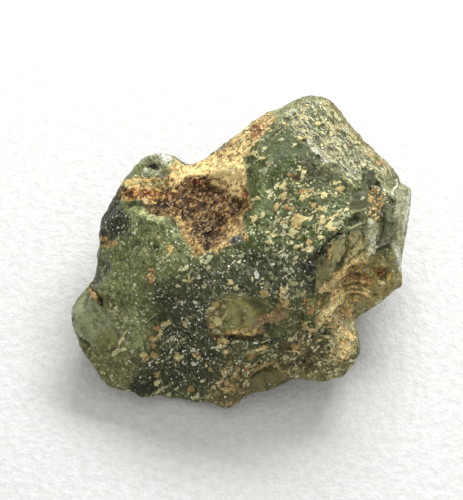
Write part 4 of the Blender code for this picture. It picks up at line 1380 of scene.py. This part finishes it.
class Nodes:
    """Short names for the shader nodes that the materials are made of."""

    def __init__(self, name):
        self.material = bpy.data.materials.new(name)
        self.material.use_nodes = True
        self.tree = self.material.node_tree
        self.shader = self.tree.nodes["Principled BSDF"]
        self.output = self.tree.nodes["Material Output"]

    def new(self, kind):
        return self.tree.nodes.new("ShaderNode" + kind)

    def feed(self, socket, value):
        """Links a socket to the other node that the value comes from, or sets it."""
        if isinstance(value, bpy.types.NodeSocket):
            self.tree.links.new(value, socket)
        elif isinstance(value, tuple) and len(socket.default_value) > len(value):
            socket.default_value = value + (1.0,)
        else:
            socket.default_value = value

    def surface(self, name, value):
        """Feeds one of the shader's own inputs."""
        self.feed(self.shader.inputs[name], value)

    def mark(self, name, output="Fac"):
        """A mark that is stored on the points."""
        node = self.new("Attribute")
        node.attribute_name = name
        return node.outputs[output]

    def noise(self, place, size, detail, rough, output="Fac"):
        node = self.new("TexNoise")
        self.feed(node.inputs["Vector"], place)
        node.inputs["Scale"].default_value = 1.0 / size
        node.inputs["Detail"].default_value = detail
        node.inputs["Roughness"].default_value = rough
        return node.outputs[output]

    def lattice(self, place, size, feature="F1"):
        """The cells of an uneven lattice."""
        node = self.new("TexVoronoi")
        node.feature = feature
        self.feed(node.inputs["Vector"], place)
        node.inputs["Scale"].default_value = 1.0 / size
        return node.outputs

    def cells(self, place, size):
        """Each cell's three random numbers."""
        split = self.new("SeparateColor")
        self.feed(split.inputs[0], self.lattice(place, size)["Color"])
        return split.outputs[:3]

    def domes(self, place, size):
        """Distance to the middle of a cell, in cells."""
        return self.lattice(place, size)["Distance"]

    def gaps(self, place, size):
        """Distance to the edge of a cell, in cells."""
        return self.lattice(place, size, "DISTANCE_TO_EDGE")["Distance"]

    def math(self, operation, *values):
        node = self.new("Math")
        node.operation = operation
        for socket, value in zip(node.inputs, values):
            self.feed(socket, value)
        return node.outputs[0]

    def plus(self, a, b):
        return self.math("ADD", a, b)

    def minus(self, a, b):
        return self.math("SUBTRACT", a, b)

    def times(self, a, b):
        return self.math("MULTIPLY", a, b)

    def most(self, a, b):
        return self.math("MAXIMUM", a, b)

    def rise(self, value, start, end, low=0.0, high=1.0):
        """low before start, high after end, and smooth between them."""
        node = self.new("MapRange")
        node.interpolation_type = "SMOOTHSTEP"
        names = ("Value", "From Min", "From Max", "To Min", "To Max")
        for name, number in zip(names, (value, start, end, low, high)):
            self.feed(node.inputs[name], number)
        return node.outputs["Result"]

    def blend(self, share, a, b, kind="MIX"):
        """Two colours mixed."""
        node = self.new("Mix")
        node.data_type = "RGBA"
        node.blend_type = kind
        for number, value in zip((0, 6, 7), (share, a, b)):
            self.feed(node.inputs[number], value)
        return node.outputs[2]

    def shaded(self, color, shade):
        """Two colours multiplied."""
        return self.blend(1.0, color, shade, "MULTIPLY")

    def between(self, share, a, b):
        """Two places mixed."""
        node = self.new("Mix")
        node.data_type = "VECTOR"
        for number, value in zip((0, 4, 5), (share, a, b)):
            self.feed(node.inputs[number], value)
        return node.outputs[1]

    def vector(self, operation, inputs, output=0):
        node = self.new("VectorMath")
        node.operation = operation
        for socket, value in inputs.items():
            self.feed(node.inputs[socket], value)
        return node.outputs[output]

    def place(self):
        """Object coordinates in millimetres."""
        return self.vector("SCALE", {0: self.new("TexCoord").outputs["Object"], "Scale": 1.0 / MM})

    def wander(self, place, size, reach):
        """The place moved about by noise, so that a lattice's cells get ragged edges."""
        waves = self.noise(place, size, 2.0, 0.6, "Color")
        shift = self.vector("SUBTRACT", {0: place, 1: (reach,) * 3})
        return self.vector("MULTIPLY_ADD", {0: waves, 1: (2 * reach,) * 3, 2: shift})

    def stretched(self, place, direction, factor):
        """The place squeezed along a direction, so that what is drawn on it comes out that much longer."""
        along = self.vector("DOT_PRODUCT", {0: place, 1: direction}, "Value")
        excess = self.vector("SCALE", {0: direction, "Scale": self.times(along, 1.0 - 1.0 / factor)})
        return self.vector("SUBTRACT", {0: place, 1: excess})

    def ramp(self, value, stops):
        """Colours at numbers along a line, and those between them."""
        last = stops[-1][0]
        node = self.new("ValToRGB")
        self.feed(node.inputs[0], self.math("DIVIDE", value, last))
        elements = node.color_ramp.elements
        while len(elements) < len(stops):
            elements.new(1.0)
        for element, (number, color) in zip(elements, stops):
            element.position = number / last
            element.color = color + (1.0,)
        return node.outputs[0]

    def bump(self, height, distance, strength):
        node = self.new("Bump")
        self.feed(node.inputs["Height"], height)
        node.inputs["Distance"].default_value = distance * MM
        node.inputs["Strength"].default_value = strength
        return node.outputs[0]


def chips(n, place, size, share, gap, more):
    """Angular chips, some cells of an uneven lattice: where they are, the rings round them where flakes get a
    painted shadow, and a random tone.
    """
    pick, reach, tone = n.cells(place, size)
    present = n.math("LESS_THAN", pick, share)
    reach = n.math("MULTIPLY_ADD", reach, more, gap)
    core = n.times(present, n.math("GREATER_THAN", n.gaps(place, size), reach))
    return core, n.minus(present, core), tone


def stone_material():
    """Glass, flakes, crumbs, clay and dust in one material, laid by the marks and broken up by noise."""
    n = Nodes("tektite glass and clay")
    place = n.place()
    ragged, rougher = n.wander(place, *RAGGED), n.wander(place, *ROUGHER)
    curly = n.wander(ragged, *CURLY)
    paint, soil = n.mark("paint", "Color"), n.mark("earth", "Color")
    clay, crumb, flakes, dust = map(n.mark, ("clay", "crumb", "flakes", "dust"))
    bright, warm, falling, frost = map(n.mark, ("bright", "warm", "falling", "frost"))
    clean, plain, hollow = map(n.mark, ("clean", "plain", "hollow"))
    uneven = n.minus(1.0, plain)
    etched = n.times(n.rise(clean, 0.1, 0.9, 1.0, 0.25), n.rise(plain, 0.0, 1.0, 1.0, 0.1))
    crowd = n.rise(n.noise(place, CROWD, 3.0, 0.6), 0.36, 0.62, 0.20, 1.6)

    # Clay covers a place where its mark is stronger than noise, so that its border is ragged
    shard, shard_tone, _ = n.cells(curly, SHARD)
    soft = n.math("MULTIPLY_ADD", n.noise(ragged, CLAY_EDGE, 4.0, 0.75), 0.95, -0.22)
    patchy = n.math("MULTIPLY_ADD", shard, 0.5, soft)
    clay_mask = n.rise(n.minus(clay, patchy), -0.04, 0.06)

    # Crumbs do the same, and have a ring round them that takes a painted shadow
    over = n.minus(crumb, patchy)
    crumb_mask = n.times(n.rise(over, -0.03, 0.04), n.rise(crumb, 0.05, 0.15))
    crumb_rim = n.times(n.rise(over, -0.28, -0.10), n.rise(crumb, 0.10, 0.30))

    # Glass: mottled, with fine dark and light grains where it is etched, and darkened in its pits and hollows
    # as painted shade
    mottle = n.noise(place, MOTTLE, 5.0, 0.72)
    glass = n.blend(n.most(n.rise(mottle, 0.34, 0.64), plain), n.shaded(paint, GLASS_SHADE), paint)
    _, grain, light_grain = n.cells(n.stretched(ragged, FALLING, 1.7), GRAIN)
    darkness = n.times(n.times(n.rise(grain, 0.50, 1.0), etched), 0.85)
    glass = n.blend(darkness, glass, n.shaded(glass, GRAIN_SHADE))
    lightness = n.times(n.times(n.rise(light_grain, 0.66, 0.96), etched), 0.75)
    glass = n.blend(lightness, glass, n.blend(0.22, n.shaded(paint, GRAIN_LIGHT), GRAIN_PALE))
    glass = n.blend(n.rise(hollow, 0.05, 0.9, 0.0, 0.6), glass, PAINTED_PIT_SHADE)

    # Frost: white etching, in short strokes. On the crown's white ridge it is a painted highlight.
    strokes = n.noise(n.stretched(ragged, FALLING, 2.0), STROKE, 3.0, 0.7)
    frost_and_highlight_mask = n.rise(n.plus(strokes, n.times(frost, 0.36)), 0.74, 0.86)
    glass = n.blend(frost_and_highlight_mask, glass, FROST_AND_HIGHLIGHT_WHITE)

    # Flakes: chips of pale clay, in crowds, each with a painted shadow on a ring round it
    share = n.times(flakes, crowd)
    dirt, rims = 0.0, 0.0
    for size, stretch, amount in CHIPS:
        rising = n.stretched(curly, RISING, stretch)
        spot = n.between(falling, rising, n.stretched(curly, FALLING, stretch * 1.3))
        core, rim, tone = chips(n, spot, size, n.times(share, amount), *FLAKE_GAPS)
        color = n.ramp(n.plus(n.times(tone, 0.7), n.times(warm, 0.5)), FLAKE_TONES)
        glass = n.blend(n.times(rim, 0.5), glass, FLAKE_PAINTED_SHADOW)
        glass = n.blend(core, glass, n.blend(n.rise(grain, 0.55, 1.0, 0.0, 0.55), color, FLAKE_GRAIN))
        dirt, rims = n.most(dirt, core), n.most(rims, rim)

    # Crumbs: angular pieces of pale clay, in their own paint
    crumb_paint = n.shaded(n.mark("crumb paint", "Color"), CRUMB_SHADE)
    piece = n.blend(n.rise(shard_tone, 0.25, 1.0, 0.0, 0.7), crumb_paint, n.shaded(crumb_paint, CRUMB_PIECE))
    piece = n.blend(n.rise(grain, 0.5, 1.0, 0.0, 0.6), piece, n.shaded(crumb_paint, CRUMB_GRAIN))
    piece = n.blend(n.rise(n.gaps(curly, SHARD), 0.0, 0.06, 0.40, 0.0), piece, CRUMB_GAP)
    dirt, rims = n.most(dirt, crumb_mask), n.most(rims, crumb_rim)

    # Clay: grains from dark to pale round the paint, with dark gaps. Plain clay has fewer. Its hollows are
    # darkened as painted shade, less where it is plain.
    fibres = n.stretched(rougher, RISING, 1.6)
    _, clod, _ = n.cells(fibres, CLOD)
    tone = n.plus(n.times(clod, 0.55), n.times(n.noise(ragged, SOIL, 4.0, 0.75), 0.65))
    tone = n.math("MULTIPLY_ADD", n.minus(0.66, tone), n.times(plain, 0.75), tone)
    earth = n.blend(n.rise(tone, 0.34, 0.60), n.shaded(soil, CLAY_SHADE), soil)
    light_clay = n.blend(0.5, n.shaded(soil, CLAY_LIGHT), CLAY_PALE)
    earth = n.blend(n.rise(tone, 0.62, 0.82, 0.0, 0.95), earth, light_clay)
    gap = n.times(n.rise(n.gaps(fibres, CLOD), 0.0, 0.12, 0.6, 0.0), uneven)
    earth = n.blend(gap, earth, n.shaded(soil, CLAY_GAP))
    tint = n.minus(n.noise(place, TINT, 4.0, 0.7), n.times(plain, 0.2))
    earth = n.blend(n.rise(tint, 0.52, 0.68, 0.0, 0.45), earth, n.shaded(earth, CLAY_WARM))
    earth = n.blend(n.times(n.rise(hollow, 0.0, 0.8, 0.0, 0.5), uneven), earth, PAINTED_CLAY_HOLLOW_SHADE)

    # Dust: fine pale points over everything. Where it is bright they turn white, as painted glints.
    points, _, point_tone = chips(n, ragged, POINT, n.times(n.times(dust, crowd), 0.30), *POINT_GAPS)
    everything = n.blend(clay_mask, glass, earth)
    # Painted shadow on the ring round each crumb
    everything = n.blend(n.times(crumb_rim, 0.4), everything, CRUMB_PAINTED_SHADOW)
    everything = n.blend(crumb_mask, everything, piece)
    dull_point = n.blend(1.0, n.shaded(everything, DUST_LIGHT), DUST_LIFT, "ADD")
    point = n.blend(n.rise(n.plus(point_tone, bright), 0.75, 1.35), dull_point, GLINT_WHITE)
    n.surface("Base Color", n.blend(points, everything, point))

    # Only bare glass shines and lets light through
    dull = n.most(clay_mask, dirt)
    rough = n.plus(n.rise(clean, 0.0, 1.0, 0.42, 0.26), n.rise(mottle, 0.3, 0.7, -0.05, 0.10))
    rough = n.plus(rough, n.times(frost_and_highlight_mask, 0.2))
    n.surface("Roughness", n.most(rough, n.times(dull, 0.8)))
    n.surface("IOR", GLASS_IOR)
    n.surface("Specular IOR Level", GLASS_GLOSS)
    bare = n.minus(1.0, n.most(dull, n.most(frost_and_highlight_mask, points)))
    n.surface("Transmission Weight", n.times(bare, n.rise(clean, 0.0, 1.0, 0.04, 0.40)))
    absorb = n.new("VolumeAbsorption")
    n.feed(absorb.inputs["Color"], GLASS_ABSORBS)
    n.feed(absorb.inputs["Density"], GLASS_DENSITY)
    n.feed(n.output.inputs["Volume"], absorb.outputs[0])

    # Relief: the grain and cups of etching, what stands on the glass, and the clay's grain
    fine = n.noise(place, FINE_GRAIN, 3.0, 0.65)
    etching = n.plus(n.times(fine, 0.7), n.times(light_grain, 0.5))
    etching = n.times(n.plus(etching, n.times(n.domes(ragged, DOME), 0.8)), etched)
    scattered = n.plus(n.times(dirt, 0.8), n.times(points, 0.4))
    scattered = n.minus(scattered, n.times(rims, 0.4))
    granular = n.times(clay_mask, n.plus(n.times(tone, 0.7), n.times(fine, 0.5)))
    n.surface("Normal", n.bump(n.plus(etching, n.plus(scattered, granular)), *STONE_BUMP))
    return n.material


def floor_material():
    n = Nodes("white paper")
    grain = n.noise(n.place(), PAPER_GRAIN, 4.0, 0.7)
    n.surface("Base Color", n.blend(n.rise(grain, 0.3, 0.7), *PAPER_COLORS))
    n.surface("Roughness", PAPER_ROUGHNESS)
    n.surface("Normal", n.bump(grain, *PAPER_BUMP))
    return n.material


def make_floor():
    bpy.ops.mesh.primitive_plane_add(size=FLOOR_SIZE, location=(0.0, 0.0, 0.0))
    floor = bpy.context.object
    floor.name = "paper"
    floor.data.materials.append(floor_material())


def make_light():
    """Broad soft daylight from the far right, and even light from all round."""
    key = bpy.data.lights.new("window", "AREA")
    key.shape = "RECTANGLE"
    key.size, key.size_y = WINDOW_SIZE
    key.energy = WINDOW_POWER
    lamp = bpy.data.objects.new("window", key)
    bpy.context.scene.collection.objects.link(lamp)
    lamp.location = WINDOW_PLACE
    lamp.rotation_euler = (-lamp.location).to_track_quat("-Z", "Y").to_euler()
    world = bpy.data.worlds.new("room")
    bpy.context.scene.world = world
    world.use_nodes = True
    background = world.node_tree.nodes["Background"]
    background.inputs["Color"].default_value = ROOM_COLOR
    background.inputs["Strength"].default_value = ROOM_STRENGTH
    bpy.context.scene.view_settings.view_transform = "Standard"


stone, view = make_stone(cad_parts["moldavite"])
stone.data.materials.clear()
stone.data.materials.append(stone_material())
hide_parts("moldavite")
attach(stone, "root")
view.make_camera()
make_floor()
make_light()
